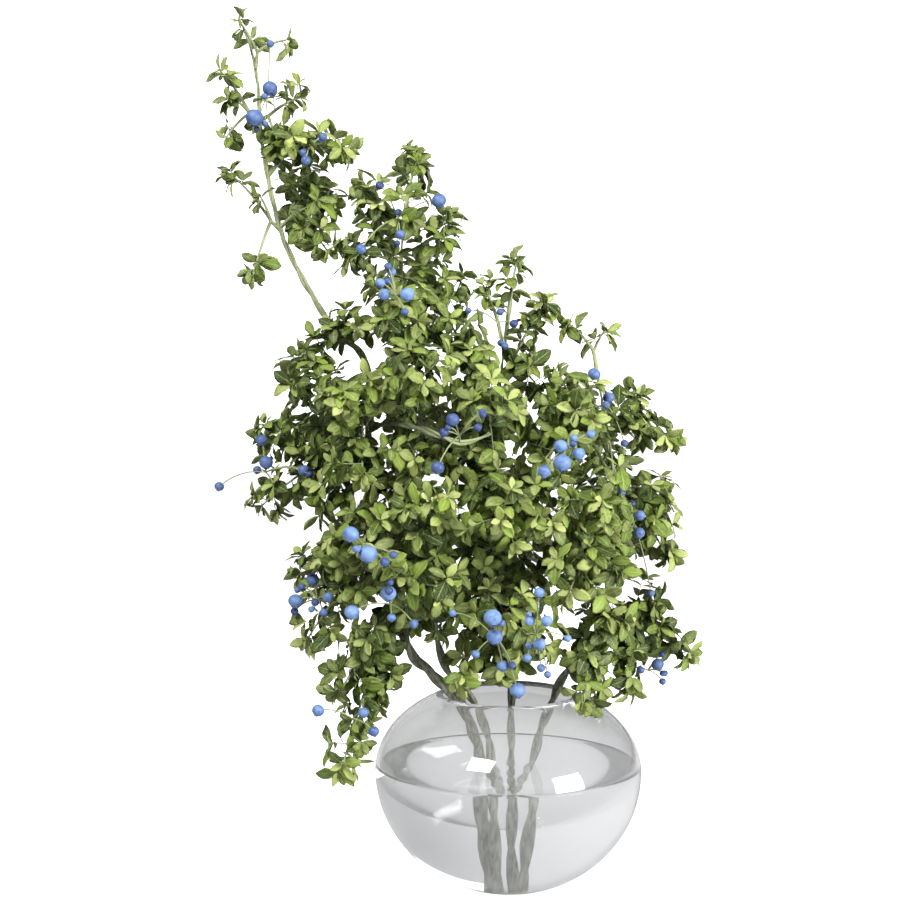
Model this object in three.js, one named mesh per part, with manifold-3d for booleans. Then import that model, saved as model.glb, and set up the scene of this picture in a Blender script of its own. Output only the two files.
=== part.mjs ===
// Cut blueberry branches standing in a round glass bowl vase that is half full of water.
// Units are millimetres and +Z is up. The origin is the centre of the vase's underside.
// Seen along +Y, +X is to the right, and the longest branch leans left.

import * as THREE from "three";
import { mergeVertices } from "three/addons/utils/BufferGeometryUtils.js";
import Module from "manifold-3d";

const wasm = await Module();
wasm.setup();

// ---------------------------------------------------------------- driving dimensions

const VASE_RADIUS = 120; // the bowl's greatest outer radius
const VASE_WIDEST_AT = 100; // height of the greatest radius
const VASE_DOME = 78; // from the widest place up to where the outer curve would close
const VASE_KEEL = 108; // from the widest place down to where the outer curve would close
const VASE_MOUTH_AT = 167.4; // height where the outer curve meets the rim
const GLASS_WALL = 4;
const GLASS_FLOOR = 8;
const GLASS_KEEL_EXTRA = 1; // the wall thickens a little towards the floor
const RIM_RADIUS = 2;
const WATER_LEVEL = 105;
const ROUND_SIDES = 32; // flats round the bowl and the water
const TOUCH_GAP = 0.5; // left between pieces that touch

const STEM_SIDES = 6;
const STEM_FOOT = GLASS_FLOOR - 4; // routes start low, and the feet are then cut level on the floor

const BOUGH_RADIUS = 2.2; // where a bough leaves its stem
const FORK_RADIUS = 1.7;
const BOUGH_TIP_RADIUS = 0.9;
const FORK_PLACE = 0.3; // share of the way from the stem to the bough's tips
const ARCH = 0.14; // rise of a bough's middle, as a share of its length

const SPRIG_SPACING = 24; // between side twigs along a bough
const SPRIG_MOST = 5; // side twigs on one fork
const SPRIG_RADIUS = 0.9;
const LEAF_LENGTH = 23;
const LEAF_NOTCH = 9; // radius of the rosette between two leaves
const LEAF_HALF_THICKNESS = 1.1;
const LEAVES_PER_ROSETTE = 4;
const LEAF_CUP = 5; // how far the leaf tips rise above the rosette's centre
const GOLDEN_ANGLE = THREE.MathUtils.degToRad(137.5);

const STALK_RADIUS = 1.0;
const PEDICEL_RADIUS = 0.7;
const SMALL_BERRY = 12; // berries up to this diameter get the coarser ball

// ---------------------------------------------------------------- the plant's layout

// Each stem: radius at its foot and at its tip, and the points that it passes through.
const STEMS = {
  left: {
    foot: 5.5,
    tip: 1.3,
    route: [
      [-7, 6, STEM_FOOT], [-24, 4, 105], [-42, -12, 158], [-70, -14, 188], [-86, -15, 204],
      [-98, -16, 237], [-107, -14, 271], [-116, -10, 315], [-124, -5, 360], [-126, 0, 396],
      [-124, 2, 432],
      [-132, 5, 473], [-157, 5, 496], [-173, 5, 520], [-188, 5, 546], [-203, 5, 578],
      [-213, 5, 612], [-220, 5, 648], [-225, 5, 684], [-227, 4, 720], [-232, 0, 750],
      [-239, -3, 770],
    ],
  },
  upright: {
    foot: 4.6,
    tip: 1.3,
    route: [
      [-6, -6, STEM_FOOT], [-14, -12, 105], [-28, -24, 158], [-56, -28, 196], [-64, -26, 220],
      [-69, -22, 254], [-75, -16, 298], [-81, -8, 342], [-88, 0, 388], [-94, 5, 432], [-96, 5, 478],
      [-97, 5, 524], [-96, 4, 568], [-92, 0, 602], [-86, 0, 642],
    ],
  },
  middle: {
    foot: 4.4,
    tip: 1.2,
    route: [
      [4, 5, STEM_FOOT], [3, 6, 105], [4, 6, 158], [3, 8, 190], [-5, 10, 212], [-8, 12, 240],
      [-7, 18, 280], [-10, 22, 322], [-15, 20, 368], [-14, 16, 405], [-8, 10, 442], [-3, 5, 478],
      [2, 0, 512], [6, 0, 546],
    ],
  },
  right: {
    foot: 4.8,
    tip: 1.2,
    route: [
      [6, -5, STEM_FOOT], [22, -4, 105], [38, -8, 158], [50, -8, 184], [64, -8, 204], [80, -6, 222],
      [90, -2, 246], [98, 4, 280], [102, 8, 315], [100, 8, 352], [92, 5, 394], [86, 0, 428], [81, 0, 458],
      [76, 0, 482],
    ],
  },
  cross: {
    foot: 3,
    tip: 1.6,
    route: [
      [-125, 0, 405], [-109, -40, 411], [-77, -85, 405], [-60, -100, 398], [-44, -104, 393],
      [-31, -100, 395], [-19, -90, 401],
    ],
  },
};

// Each bough: the stem and the height where it leaves it, and its tips as x, y, z and the length
// of the side twigs there.
const BOUGHS = [
  { name: "left_bough_01", stem: "left", height: 734, tips: [[-243, -6, 774, 14], [-200, -4, 757, 11]] },
  {
    name: "left_bough_02",
    stem: "left",
    height: 680,
    tips: [[-250, -8, 705, 15], [-252, -12, 668, 10], [-259, -8, 728, 5]],
  },
  { name: "left_bough_03", stem: "left", height: 688, tips: [[-188, 0, 706, 18], [-206, -18, 655, 14]] },
  { name: "left_bough_04", stem: "left", height: 635, tips: [[-146, 0, 659, 20], [-190, -35, 662, 21]] },
  {
    name: "left_bough_05",
    stem: "left",
    height: 588,
    tips: [[-160, 0, 612, 22], [-163, -10, 567, 18], [-190, 40, 640, 22]],
  },
  {
    name: "left_bough_06",
    stem: "left",
    height: 585,
    tips: [[-253, 0, 638, 10], [-222, -6, 614, 7], [-229, -8, 544, 8]],
  },
  { name: "left_bough_07", stem: "left", height: 478, tips: [[-146, -20, 501, 27], [-180, -10, 479, 24]] },
  {
    name: "left_bough_08",
    stem: "left",
    height: 405,
    tips: [[-190, -30, 450, 28], [-140, -100, 425, 33], [-110, -70, 419, 32], [-125, -90, 366, 34]],
  },
  {
    name: "left_bough_09",
    stem: "left",
    height: 375,
    tips: [[-225, 20, 398, 26], [-222, 0, 337, 24], [-176, 90, 420, 39], [-160, -40, 341, 28]],
  },
  {
    name: "left_bough_10",
    stem: "left",
    height: 275,
    tips: [[-184, -20, 278, 27], [-175, -50, 224, 23], [-157, -60, 293, 26]],
  },
  {
    name: "left_bough_11",
    stem: "left",
    height: 232,
    tips: [[-145, -60, 113, 17], [-115, -40, 167, 15], [-123, -70, 226, 21], [-146, -60, 181, 19]],
  },
  { name: "left_bough_12", stem: "left", height: 310, tips: [[-124, -108, 309, 34], [-141, -75, 267, 28]] },
  { name: "upright_bough_01", stem: "upright", height: 605, tips: [[-82, 0, 652, 18], [-95, -20, 590, 22]] },
  { name: "upright_bough_02", stem: "upright", height: 530, tips: [[-128, 0, 624, 22], [-143, 0, 564, 25]] },
  {
    name: "upright_bough_03",
    stem: "upright",
    height: 515,
    tips: [[-54, 0, 591, 25], [-47, 0, 530, 29], [-36, -40, 473, 26]],
  },
  {
    name: "upright_bough_04",
    stem: "upright",
    height: 420,
    tips: [[-98, -80, 513, 32], [-73, -105, 443, 36]],
  },
  { name: "upright_bough_05", stem: "upright", height: 470, tips: [[-95, 70, 546, 37]] },
  {
    name: "upright_bough_06",
    stem: "upright",
    height: 275,
    tips: [[-68, -118, 346, 36], [-60, -104, 264, 31], [-95, -95, 271, 30]],
  },
  {
    name: "upright_bough_07",
    stem: "upright",
    height: 380,
    tips: [[-82, 100, 421, 44], [-82, -75, 379, 32]],
  },
  {
    name: "upright_bough_08",
    stem: "upright",
    height: 295,
    tips: [[-89, 100, 264, 43], [-154, 88, 304, 39]],
  },
  { name: "middle_bough_01", stem: "middle", height: 490, tips: [[8, 0, 556, 18]] },
  { name: "middle_bough_02", stem: "middle", height: 478, tips: [[-22, 0, 536, 14]] },
  { name: "middle_bough_03", stem: "middle", height: 450, tips: [[35, 0, 519, 14], [27, 0, 445, 31]] },
  {
    name: "middle_bough_04",
    stem: "middle",
    height: 395,
    tips: [[-35, -60, 473, 29], [-19, -108, 407, 34]],
  },
  { name: "middle_bough_05", stem: "middle", height: 325, tips: [[-11, -118, 330, 36], [31, -110, 328, 34]] },
  {
    name: "middle_bough_06",
    stem: "middle",
    height: 240,
    tips: [[-6, -92, 245, 32], [-8, -44, 192, 20], [29, -60, 220, 24]],
  },
  { name: "middle_bough_07", stem: "middle", height: 375, tips: [[-22, 100, 421, 45], [-45, -60, 374, 32]] },
  { name: "middle_bough_08", stem: "middle", height: 285, tips: [[-3, 104, 278, 45]] },
  { name: "right_bough_01", stem: "right", height: 460, tips: [[87, 0, 494, 12], [57, 0, 500, 11]] },
  {
    name: "right_bough_02",
    stem: "right",
    height: 410,
    tips: [[118, 0, 436, 16], [150, 0, 397, 12], [118, -10, 405, 24]],
  },
  {
    name: "right_bough_03",
    stem: "right",
    height: 335,
    tips: [[140, 0, 351, 24], [144, 0, 291, 24], [129, -30, 325, 24]],
  },
  {
    name: "right_bough_04",
    stem: "right",
    height: 250,
    tips: [[135, 0, 249, 24], [160, -5, 200, 19], [118, -15, 206, 20], [110, -18, 173, 14]],
  },
  { name: "right_bough_05", stem: "right", height: 212, tips: [[76, -26, 172, 14], [85, -60, 245, 25]] },
  {
    name: "right_bough_06",
    stem: "right",
    height: 395,
    tips: [[52, -92, 420, 35], [27, -95, 380, 30], [44, -35, 441, 26]],
  },
  {
    name: "right_bough_07",
    stem: "right",
    height: 305,
    tips: [[72, -112, 346, 36], [47, -98, 271, 35], [69, -92, 294, 32]],
  },
  { name: "right_bough_08", stem: "right", height: 335, tips: [[77, 88, 407, 40], [116, 92, 304, 40]] },
];

// Each cluster: its berries as x, y, z and diameter.
const CLUSTERS = {
  spike_berries: [[-213, -12, 751, 7], [-212, -22, 708, 13.5], [-225, -26, 681, 16]],
  spike_side_berries: [[-165, -22, 665, 8], [-181, -30, 649, 8], [-178, -40, 640, 8.5]],
  peak_berries: [[-115, -12, 624, 8], [-98, -22, 598, 7], [-96, -30, 577, 9], [-62, -14, 610, 13.5]],
  peak_front_berries: [
    [-110, -92, 526, 8.5], [-106, -104, 515, 10], [-87, -112, 514, 12], [-89, -110, 500, 6.5],
  ],
  crown_berries: [[-7, -10, 511, 7], [5, -14, 500, 8], [-3, -14, 480, 7]],
  shoulder_berries: [[75, -30, 454, 11.5], [87, -36, 433, 10.5]],
  right_front_berries: [
    [37, -140, 377, 14.5], [37, -126, 390, 11.5], [51, -132, 384, 10.5], [23, -136, 370, 11],
  ],
  right_side_berries: [[98, -40, 350, 7], [107, -38, 340, 7], [113, -44, 330, 9.5], [112, -46, 315, 10.5]],
  centre_berries: [[-50, -140, 411, 11], [-57, -134, 401, 8], [-62, -140, 373, 11]],
  left_lobe_berries: [
    [-221, -10, 396, 11], [-216, -18, 376, 12.5], [-181, -30, 369, 10.5], [-261, 0, 354, 9],
  ],
  left_front_berries: [[-131, -138, 320, 13.5], [-117, -145, 305, 15], [-104, -138, 298, 8]],
  low_left_berries: [
    [-171, -50, 275, 11.5], [-185, -56, 257, 13], [-156, -64, 261, 9.5], [-161, -56, 247, 7.5],
  ],
  low_middle_left_berries: [[-133, -100, 253, 13], [-102, -120, 271, 13], [-82, -104, 244, 8]],
  low_middle_berries: [
    [-18, -133, 253, 14.5], [-16, -121, 236, 13.5], [-8, -84, 206, 10], [5, -76, 184, 13.5],
  ],
  low_right_berries: [[20, -124, 272, 9], [12, -118, 248, 7.5], [26, -122, 249, 9.5], [22, -100, 227, 10.5]],
  hanging_berries: [[-165, -62, 164, 11], [-126, -66, 163, 9.5], [-117, -66, 147, 9.5]],
  right_bough_berries: [[133, -18, 196, 11.5], [118, -18, 191, 7]],
};

// ---------------------------------------------------------------- finishes

const FINISHES = {
  glass: { color: 0xd9dbdf, roughness: 0.04, metalness: 0, transparent: true, opacity: 0.35 },
  water: { color: 0xb9bdc0, roughness: 0.03, metalness: 0, transparent: true, opacity: 0.4 },
  bark: { color: 0x6c6756, roughness: 0.85, metalness: 0 },
  leaf: { color: 0x64853a, roughness: 0.5, metalness: 0 },
  berry: { color: 0x5b86cc, roughness: 0.45, metalness: 0 },
};

// ---------------------------------------------------------------- small tools

// A repeatable number between 0 and 1 for the pair n, k.
function chance(n, k) {
  const wave = Math.sin(n * 127.1 + k * 311.7) * 43758.5453;
  return wave - Math.floor(wave);
}

function vector(point) {
  return new THREE.Vector3(point[0], point[1], point[2]);
}

// A closed geometry as a solid that can be joined and cut.
function solidOf(geometry) {
  const bare = geometry.clone();
  bare.deleteAttribute("normal");
  bare.deleteAttribute("uv");
  const merged = mergeVertices(bare, 1e-4);
  const mesh = new wasm.Mesh({
    numProp: 3,
    vertProperties: new Float32Array(merged.attributes.position.array),
    triVerts: new Uint32Array(merged.index.array),
  });
  return new wasm.Manifold(mesh);
}

function geometryOf(solid) {
  const mesh = solid.getMesh();
  const geometry = new THREE.BufferGeometry();
  geometry.setAttribute("position", new THREE.BufferAttribute(mesh.vertProperties, 3));
  geometry.setIndex(new THREE.BufferAttribute(mesh.triVerts, 1));
  return geometry;
}

// The largest connected piece of a solid, so that a cut never leaves loose crumbs.
function largestPiece(solid) {
  const pieces = solid.decompose();
  return pieces.reduce((best, piece) => (piece.volume() > best.volume() ? piece : best));
}

function boxesMeet(a, b) {
  return [0, 1, 2].every((axis) => a.min[axis] <= b.max[axis] && b.min[axis] <= a.max[axis]);
}

function overlaps(solid, others) {
  const box = solid.boundingBox();
  return others.some((other) => boxesMeet(box, other.boundingBox()) && solid.intersect(other).volume() > 0);
}

function cutBack(solid, others) {
  const box = solid.boundingBox();
  const near = others.filter((other) => boxesMeet(box, other.boundingBox()));
  return near.reduce((rest, other) => rest.subtract(other), solid);
}

// A round twig along a curve that narrows from one radius to another.
function twig(curve, startRadius, endRadius, sides, steps) {
  const section = new THREE.Shape();
  for (let side = 0; side < sides; side += 1) {
    const angle = (side / sides) * 2 * Math.PI;
    section[side === 0 ? "moveTo" : "lineTo"](Math.cos(angle), Math.sin(angle));
  }
  const geometry = new THREE.ExtrudeGeometry(section, { steps, extrudePath: curve, bevelEnabled: false });
  const centres = curve.getSpacedPoints(steps);
  const position = geometry.attributes.position;
  const point = new THREE.Vector3();
  for (let i = 0; i < position.count; i += 1) {
    point.fromBufferAttribute(position, i);
    let nearest = 0;
    centres.forEach((centre, step) => {
      if (point.distanceTo(centre) < point.distanceTo(centres[nearest])) nearest = step;
    });
    const radius = THREE.MathUtils.lerp(startRadius, endRadius, nearest / steps);
    point.sub(centres[nearest]).multiplyScalar(radius).add(centres[nearest]);
    position.setXYZ(i, point.x, point.y, point.z);
  }
  return solidOf(geometry);
}

// ---------------------------------------------------------------- vase and water

// Points on the bowl's curve, from one angle to another, on ellipses that share one equator.
function bowlPoints(radius, dome, keel, fromAngle, toAngle, steps) {
  const points = [];
  for (let step = 0; step <= steps; step += 1) {
    const angle = THREE.MathUtils.lerp(fromAngle, toAngle, step / steps);
    const height = Math.sin(angle) * (angle > 0 ? dome : keel);
    points.push(new THREE.Vector2(radius * Math.cos(angle), VASE_WIDEST_AT + height));
  }
  return points;
}

const INNER_RADIUS = VASE_RADIUS - GLASS_WALL;
const INNER_DOME = VASE_DOME - GLASS_WALL;
const INNER_KEEL = VASE_KEEL - GLASS_WALL - GLASS_KEEL_EXTRA;
const FLOOR_ANGLE = Math.asin((GLASS_FLOOR - VASE_WIDEST_AT) / INNER_KEEL);
const WATER_ANGLE = Math.asin((WATER_LEVEL - VASE_WIDEST_AT) / INNER_DOME);
const WET_STEPS = 5;
const DRY_STEPS = 4;
const OUTER_STEPS = 9;

function latheUp(profile) {
  return new THREE.LatheGeometry(profile, ROUND_SIDES).rotateX(Math.PI / 2);
}

function makeVase() {
  const outerFoot = Math.asin(-VASE_WIDEST_AT / VASE_KEEL);
  const outerMouth = Math.asin((VASE_MOUTH_AT - VASE_WIDEST_AT) / VASE_DOME);
  const outer = bowlPoints(VASE_RADIUS, VASE_DOME, VASE_KEEL, outerFoot, outerMouth, OUTER_STEPS);
  const shoulder = outer[outer.length - 1];
  const innerMouth = Math.acos((shoulder.x - RIM_RADIUS * 0.7) / INNER_RADIUS);
  const dry = bowlPoints(INNER_RADIUS, INNER_DOME, INNER_KEEL, innerMouth, WATER_ANGLE, DRY_STEPS);
  const wet = bowlPoints(INNER_RADIUS, INNER_DOME, INNER_KEEL, WATER_ANGLE, FLOOR_ANGLE, WET_STEPS);
  const lip = shoulder.clone().add(dry[0]).multiplyScalar(0.5);
  const rim = [35, 0, -35].map((degrees) => {
    const turn = Math.PI + THREE.MathUtils.degToRad(-20 - degrees);
    return new THREE.Vector2(lip.x + RIM_RADIUS * Math.cos(turn), lip.y + RIM_RADIUS * Math.sin(turn));
  });
  const axisLow = new THREE.Vector2(0, 0);
  const axisFloor = new THREE.Vector2(0, GLASS_FLOOR);
  return solidOf(latheUp([axisLow, ...outer, ...rim, ...dry, ...wet.slice(1), axisFloor]));
}

function makeWater(stemClearances) {
  const wall = bowlPoints(
    INNER_RADIUS - TOUCH_GAP,
    INNER_DOME - TOUCH_GAP,
    INNER_KEEL - TOUCH_GAP,
    FLOOR_ANGLE,
    WATER_ANGLE,
    WET_STEPS,
  );
  const low = new THREE.Vector2(0, wall[0].y);
  const high = new THREE.Vector2(0, wall[wall.length - 1].y);
  return largestPiece(cutBack(solidOf(latheUp([low, ...wall, high])), stemClearances));
}

// ---------------------------------------------------------------- stems and boughs

function stemCurve(stem) {
  return new THREE.CatmullRomCurve3(stem.route.map(vector));
}

// The place on a stem's curve at a given height. Stems only ever climb.
function placeAtHeight(curve, height) {
  let low = 0;
  let high = 1;
  for (let halving = 0; halving < 30; halving += 1) {
    const middle = (low + high) / 2;
    if (curve.getPoint(middle).z < height) low = middle;
    else high = middle;
  }
  return curve.getPoint(low);
}

// A bough's curves: a short trunk out of the stem, and an arching fork to each tip.
function boughCurves(bough, stems) {
  const root = placeAtHeight(stems[bough.stem].curve, bough.height);
  const tips = bough.tips.map(vector);
  const centre = tips.reduce((sum, tip) => sum.add(tip), new THREE.Vector3()).divideScalar(tips.length);
  const fork = root.clone().lerp(centre, FORK_PLACE);
  fork.z += ARCH * root.distanceTo(centre);
  const forks = tips.map((tip) => {
    const crest = fork.clone().lerp(tip, 0.5);
    crest.z += ARCH * fork.distanceTo(tip);
    return new THREE.QuadraticBezierCurve3(fork, crest, tip);
  });
  return { trunk: new THREE.LineCurve3(root, fork), forks };
}

function boughSolid({ trunk, forks }, swell) {
  const start = twig(trunk, BOUGH_RADIUS + swell, FORK_RADIUS + swell, 4, 1);
  return forks.reduce(
    (whole, fork) => whole.add(twig(fork, FORK_RADIUS + swell, BOUGH_TIP_RADIUS + swell, 4, 2)),
    start,
  );
}

// ---------------------------------------------------------------- leaves

// Points evenly round a circle in the plane that faces a direction.
function ring(centre, facing, count, turn, radiusAt, liftAt) {
  const aim = new THREE.Quaternion().setFromUnitVectors(new THREE.Vector3(0, 0, 1), facing);
  return Array.from({ length: count }, (_, i) => {
    const angle = turn + (2 * Math.PI * i) / count;
    const point = new THREE.Vector3(radiusAt(i) * Math.cos(angle), radiusAt(i) * Math.sin(angle), liftAt(i));
    return point.applyQuaternion(aim).add(centre);
  });
}

// A side twig that ends in a rosette of leaves: a three-sided stalk that opens into a flat star,
// drawn in between the leaves and cupped at their tips.
function sprigSolid({ from, to, facing }, turn, swell) {
  const along = to.clone().sub(from).normalize();
  const stalk = SPRIG_RADIUS + swell;
  const half = LEAF_HALF_THICKNESS + swell;
  const starPoints = 2 * LEAVES_PER_ROSETTE;
  const starRadius = (i) => (i % 2 === 0 ? LEAF_LENGTH : LEAF_NOTCH) + swell;
  const starLift = (i) => (i % 2 === 0 ? LEAF_CUP : 0);
  const foot = ring(from, along, 3, turn, () => stalk, () => 0);
  const neck = ring(to.clone().addScaledVector(along, -half), along, 3, turn, () => stalk, () => 0);
  const star = ring(to, facing, starPoints, turn, starRadius, starLift);
  const crown = to.clone().addScaledVector(facing, half);
  const points = [...foot, ...neck, ...star, crown];
  const faces = [0, 2, 1];
  for (let i = 0; i < 3; i += 1) {
    const next = (i + 1) % 3;
    faces.push(i, next, 3 + next, i, 3 + next, 3 + i);
  }
  for (let i = 0; i < starPoints; i += 1) {
    const next = (i + 1) % starPoints;
    const near = Math.round((3 * i) / starPoints) % 3;
    const nearNext = Math.round((3 * (i + 1)) / starPoints) % 3;
    faces.push(3 + near, 6 + next, 6 + i, 6 + i, 6 + next, 6 + starPoints);
    if (near !== nearNext) faces.push(3 + near, 3 + nearNext, 6 + next);
  }
  const geometry = new THREE.BufferGeometry().setFromPoints(points);
  geometry.setIndex(faces);
  return solidOf(geometry);
}

// The side twigs of one fork: where each leaves the fork and where its rosette sits.
function sprigPlaces(fork, reach, seed) {
  const count = THREE.MathUtils.clamp(Math.round(fork.getLength() / SPRIG_SPACING), 1, SPRIG_MOST);
  const tip = fork.getPoint(1);
  const places = [{ from: fork.getPoint(0.9), to: tip, facing: fork.getTangent(1) }];
  for (let k = 0; k < count; k += 1) {
    const along = 0.95 - (0.85 * k) / count;
    const tangent = fork.getTangent(along);
    const side = new THREE.Vector3(0, 0, 1).cross(tangent).normalize();
    side.applyAxisAngle(tangent, GOLDEN_ANGLE * k + 2 * Math.PI * chance(seed, 1));
    const heading = side.add(tangent.multiplyScalar(0.45)).add(new THREE.Vector3(0, 0, 0.25)).normalize();
    const from = fork.getPoint(along);
    const to = from.clone().addScaledVector(heading, reach * (0.65 + 0.35 * chance(seed, k + 2)));
    const facing = heading.clone().lerp(new THREE.Vector3(0, 0, 1), 0.4).normalize();
    places.push({ from, to, facing });
  }
  return places;
}

// ---------------------------------------------------------------- berries

function berry([x, y, z, diameter], swell) {
  const ball =
    diameter <= SMALL_BERRY
      ? new THREE.IcosahedronGeometry(diameter / 2 + swell, 0)
      : new THREE.SphereGeometry(diameter / 2 + swell, 6, 4);
  return solidOf(ball.translate(x, y, z));
}

// The nearest point to a place on any of the curves.
function nearestPoint(place, curves) {
  let best = curves[0].getPoint(0);
  curves.forEach((curve) => {
    curve.getPoints(24).forEach((point) => {
      if (point.distanceTo(place) < best.distanceTo(place)) best = point;
    });
  });
  return best;
}

// Berries on thin pedicels that meet at a knot, which a stalk ties to the nearest twig.
function clusterSolid(berries, curves, swell) {
  const centre = berries.reduce((sum, place) => sum.add(vector(place)), new THREE.Vector3());
  centre.divideScalar(berries.length);
  const anchor = nearestPoint(centre, curves);
  const knot = centre.clone().lerp(anchor, 0.35);
  const stalkRadius = STALK_RADIUS + swell;
  const pedicelRadius = PEDICEL_RADIUS + swell;
  const stalk = twig(new THREE.LineCurve3(anchor, knot), stalkRadius, stalkRadius, 4, 1);
  return berries.reduce((whole, place) => {
    const pedicel = twig(new THREE.LineCurve3(knot, vector(place)), pedicelRadius, pedicelRadius, 3, 1);
    return whole.add(pedicel).add(berry(place, swell));
  }, stalk);
}

// ---------------------------------------------------------------- the arrangement

// The slab that levels the stems' feet just above the vase's floor.
function floorSlab() {
  const height = GLASS_FLOOR + TOUCH_GAP;
  return solidOf(new THREE.BoxGeometry(2 * VASE_RADIUS, 2 * VASE_RADIUS, height).translate(0, 0, height / 2));
}

function buildStems() {
  const slab = floorSlab();
  const stems = {};
  Object.entries(STEMS).forEach(([name, stem]) => {
    const curve = stemCurve(stem);
    const steps = stem.route.length;
    const taken = [slab, ...Object.values(stems).map((other) => other.clearance)];
    stems[name] = {
      curve,
      solid: largestPiece(cutBack(twig(curve, stem.foot, stem.tip, STEM_SIDES, steps), taken)),
      clearance: twig(curve, stem.foot + TOUCH_GAP, stem.tip + TOUCH_GAP, STEM_SIDES, steps),
    };
  });
  return stems;
}

function buildBoughs(stems) {
  const stemClearances = Object.values(stems).map((stem) => stem.clearance);
  const boughs = [];
  BOUGHS.forEach((bough) => {
    const curves = boughCurves(bough, stems);
    const taken = [...stemClearances, ...boughs.map((other) => other.clearance)];
    const solid = largestPiece(cutBack(boughSolid(curves, 0), taken));
    boughs.push({ ...bough, curves, solid, clearance: boughSolid(curves, TOUCH_GAP) });
  });
  return boughs;
}

function buildClusters(stems, boughs) {
  const curves = [
    ...Object.values(stems).map((stem) => stem.curve),
    ...boughs.flatMap((bough) => [bough.curves.trunk, ...bough.curves.forks]),
  ];
  const taken = [...Object.values(stems), ...boughs].map((wood) => wood.clearance);
  const clusters = {};
  Object.entries(CLUSTERS).forEach(([name, berries]) => {
    clusters[name] = largestPiece(cutBack(clusterSolid(berries, curves, 0), taken));
    taken.push(clusterSolid(berries, curves, TOUCH_GAP));
  });
  return clusters;
}

// Adds side twigs and rosettes to a bough wherever nothing else is in the way.
function leafOut(bough, index, others) {
  const sprigs = [];
  bough.curves.forks.forEach((fork, f) => {
    const seed = 10 * index + f;
    sprigPlaces(fork, bough.tips[f][3], seed).forEach((place, k) => {
      const turn = 2 * Math.PI * chance(seed, k + 40);
      if (overlaps(sprigSolid(place, turn, TOUCH_GAP), [...others, ...sprigs])) return;
      sprigs.push(sprigSolid(place, turn, 0));
      bough.solid = bough.solid.add(sprigs[sprigs.length - 1]);
    });
  });
  bough.solid = largestPiece(bough.solid);
}

function meshOf(name, solid, finish) {
  const mesh = new THREE.Mesh(geometryOf(solid), new THREE.MeshStandardMaterial(FINISHES[finish]));
  mesh.name = name;
  return mesh;
}

const stems = buildStems();
const boughs = buildBoughs(stems);
const clusters = buildClusters(stems, boughs);
const vase = makeVase();

const fixed = [vase, ...Object.values(stems).map((stem) => stem.solid), ...Object.values(clusters)];
boughs.forEach((bough, index) => {
  const others = boughs.filter((other) => other !== bough).map((other) => other.solid);
  leafOut(bough, index, [...fixed, ...others]);
});

const holder = new THREE.Group();
holder.add(meshOf("vase", vase, "glass"));
holder.add(meshOf("water", makeWater(Object.values(stems).map((stem) => stem.clearance)), "water"));

const branches = new THREE.Group();
Object.entries(stems).forEach(([name, stem]) => branches.add(meshOf(`${name}_stem`, stem.solid, "bark")));
boughs.forEach((bough) => branches.add(meshOf(bough.name, bough.solid, "leaf")));
Object.entries(clusters).forEach(([name, solid]) => branches.add(meshOf(name, solid, "berry")));

const arrangement = new THREE.Group();
arrangement.add(holder, branches);

export default arrangement;
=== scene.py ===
"""Cut blueberry branches in a round glass bowl vase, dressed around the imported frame.

The vase stands on the origin with +Z up. Seen along +Y, +X is to the right and the longest
branch leans left. Lengths in this script are metres, except the plant's layout, which is laid
out in millimetres and scaled once.
"""

from __future__ import annotations

import logging
import math
import random
from dataclasses import dataclass, field
from enum import Enum
from typing import Any, Callable, Iterable, Sequence

import bpy
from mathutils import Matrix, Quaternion, Vector

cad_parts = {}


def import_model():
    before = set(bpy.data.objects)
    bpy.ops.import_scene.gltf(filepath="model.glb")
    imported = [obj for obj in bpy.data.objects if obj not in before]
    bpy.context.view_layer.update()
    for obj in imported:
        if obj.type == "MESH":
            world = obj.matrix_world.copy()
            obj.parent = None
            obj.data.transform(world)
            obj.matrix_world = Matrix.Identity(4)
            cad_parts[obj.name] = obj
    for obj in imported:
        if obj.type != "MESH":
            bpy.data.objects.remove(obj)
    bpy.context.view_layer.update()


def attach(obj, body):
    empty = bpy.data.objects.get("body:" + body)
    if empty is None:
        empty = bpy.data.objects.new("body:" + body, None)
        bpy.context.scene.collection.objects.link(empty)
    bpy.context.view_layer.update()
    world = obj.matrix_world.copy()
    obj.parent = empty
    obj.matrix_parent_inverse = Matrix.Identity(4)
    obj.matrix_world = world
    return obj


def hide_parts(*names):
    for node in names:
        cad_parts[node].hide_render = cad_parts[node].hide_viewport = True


LOG = logging.getLogger("blueberry_vase")
MM = 0.001
BODY = "root"
UP = Vector((0.0, 0.0, 1.0))
GOLDEN_ANGLE = math.radians(137.5)


# ----------------------------------------------------------------------------- the plant's layout


@dataclass(frozen=True)
class StemPlan:
    """One woody stem: radii at its foot and tip, its strands, and its route, in millimetres."""

    name: str
    foot: float
    tip: float
    strands: int
    route: tuple[tuple[float, float, float], ...]


@dataclass(frozen=True)
class BoughPlan:
    """One leafy bough: its stem, the height where it leaves it, and its tips with side twig lengths."""

    name: str
    stem: str
    height: float
    tips: tuple[tuple[float, float, float, float], ...]


@dataclass(frozen=True)
class ClusterPlan:
    """One cluster of berries, each as x, y, z and diameter, and the small ones added by rule."""

    name: str
    berries: tuple[tuple[float, float, float, float], ...]
    extra: int = 0
    # Darkening shared by the cluster's berries; the middle cluster's 0.6 is painted shade.
    ripe: float = 0.0


FOOT_Z = 9.0  # the cut ends stand on the vase's floor

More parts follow.
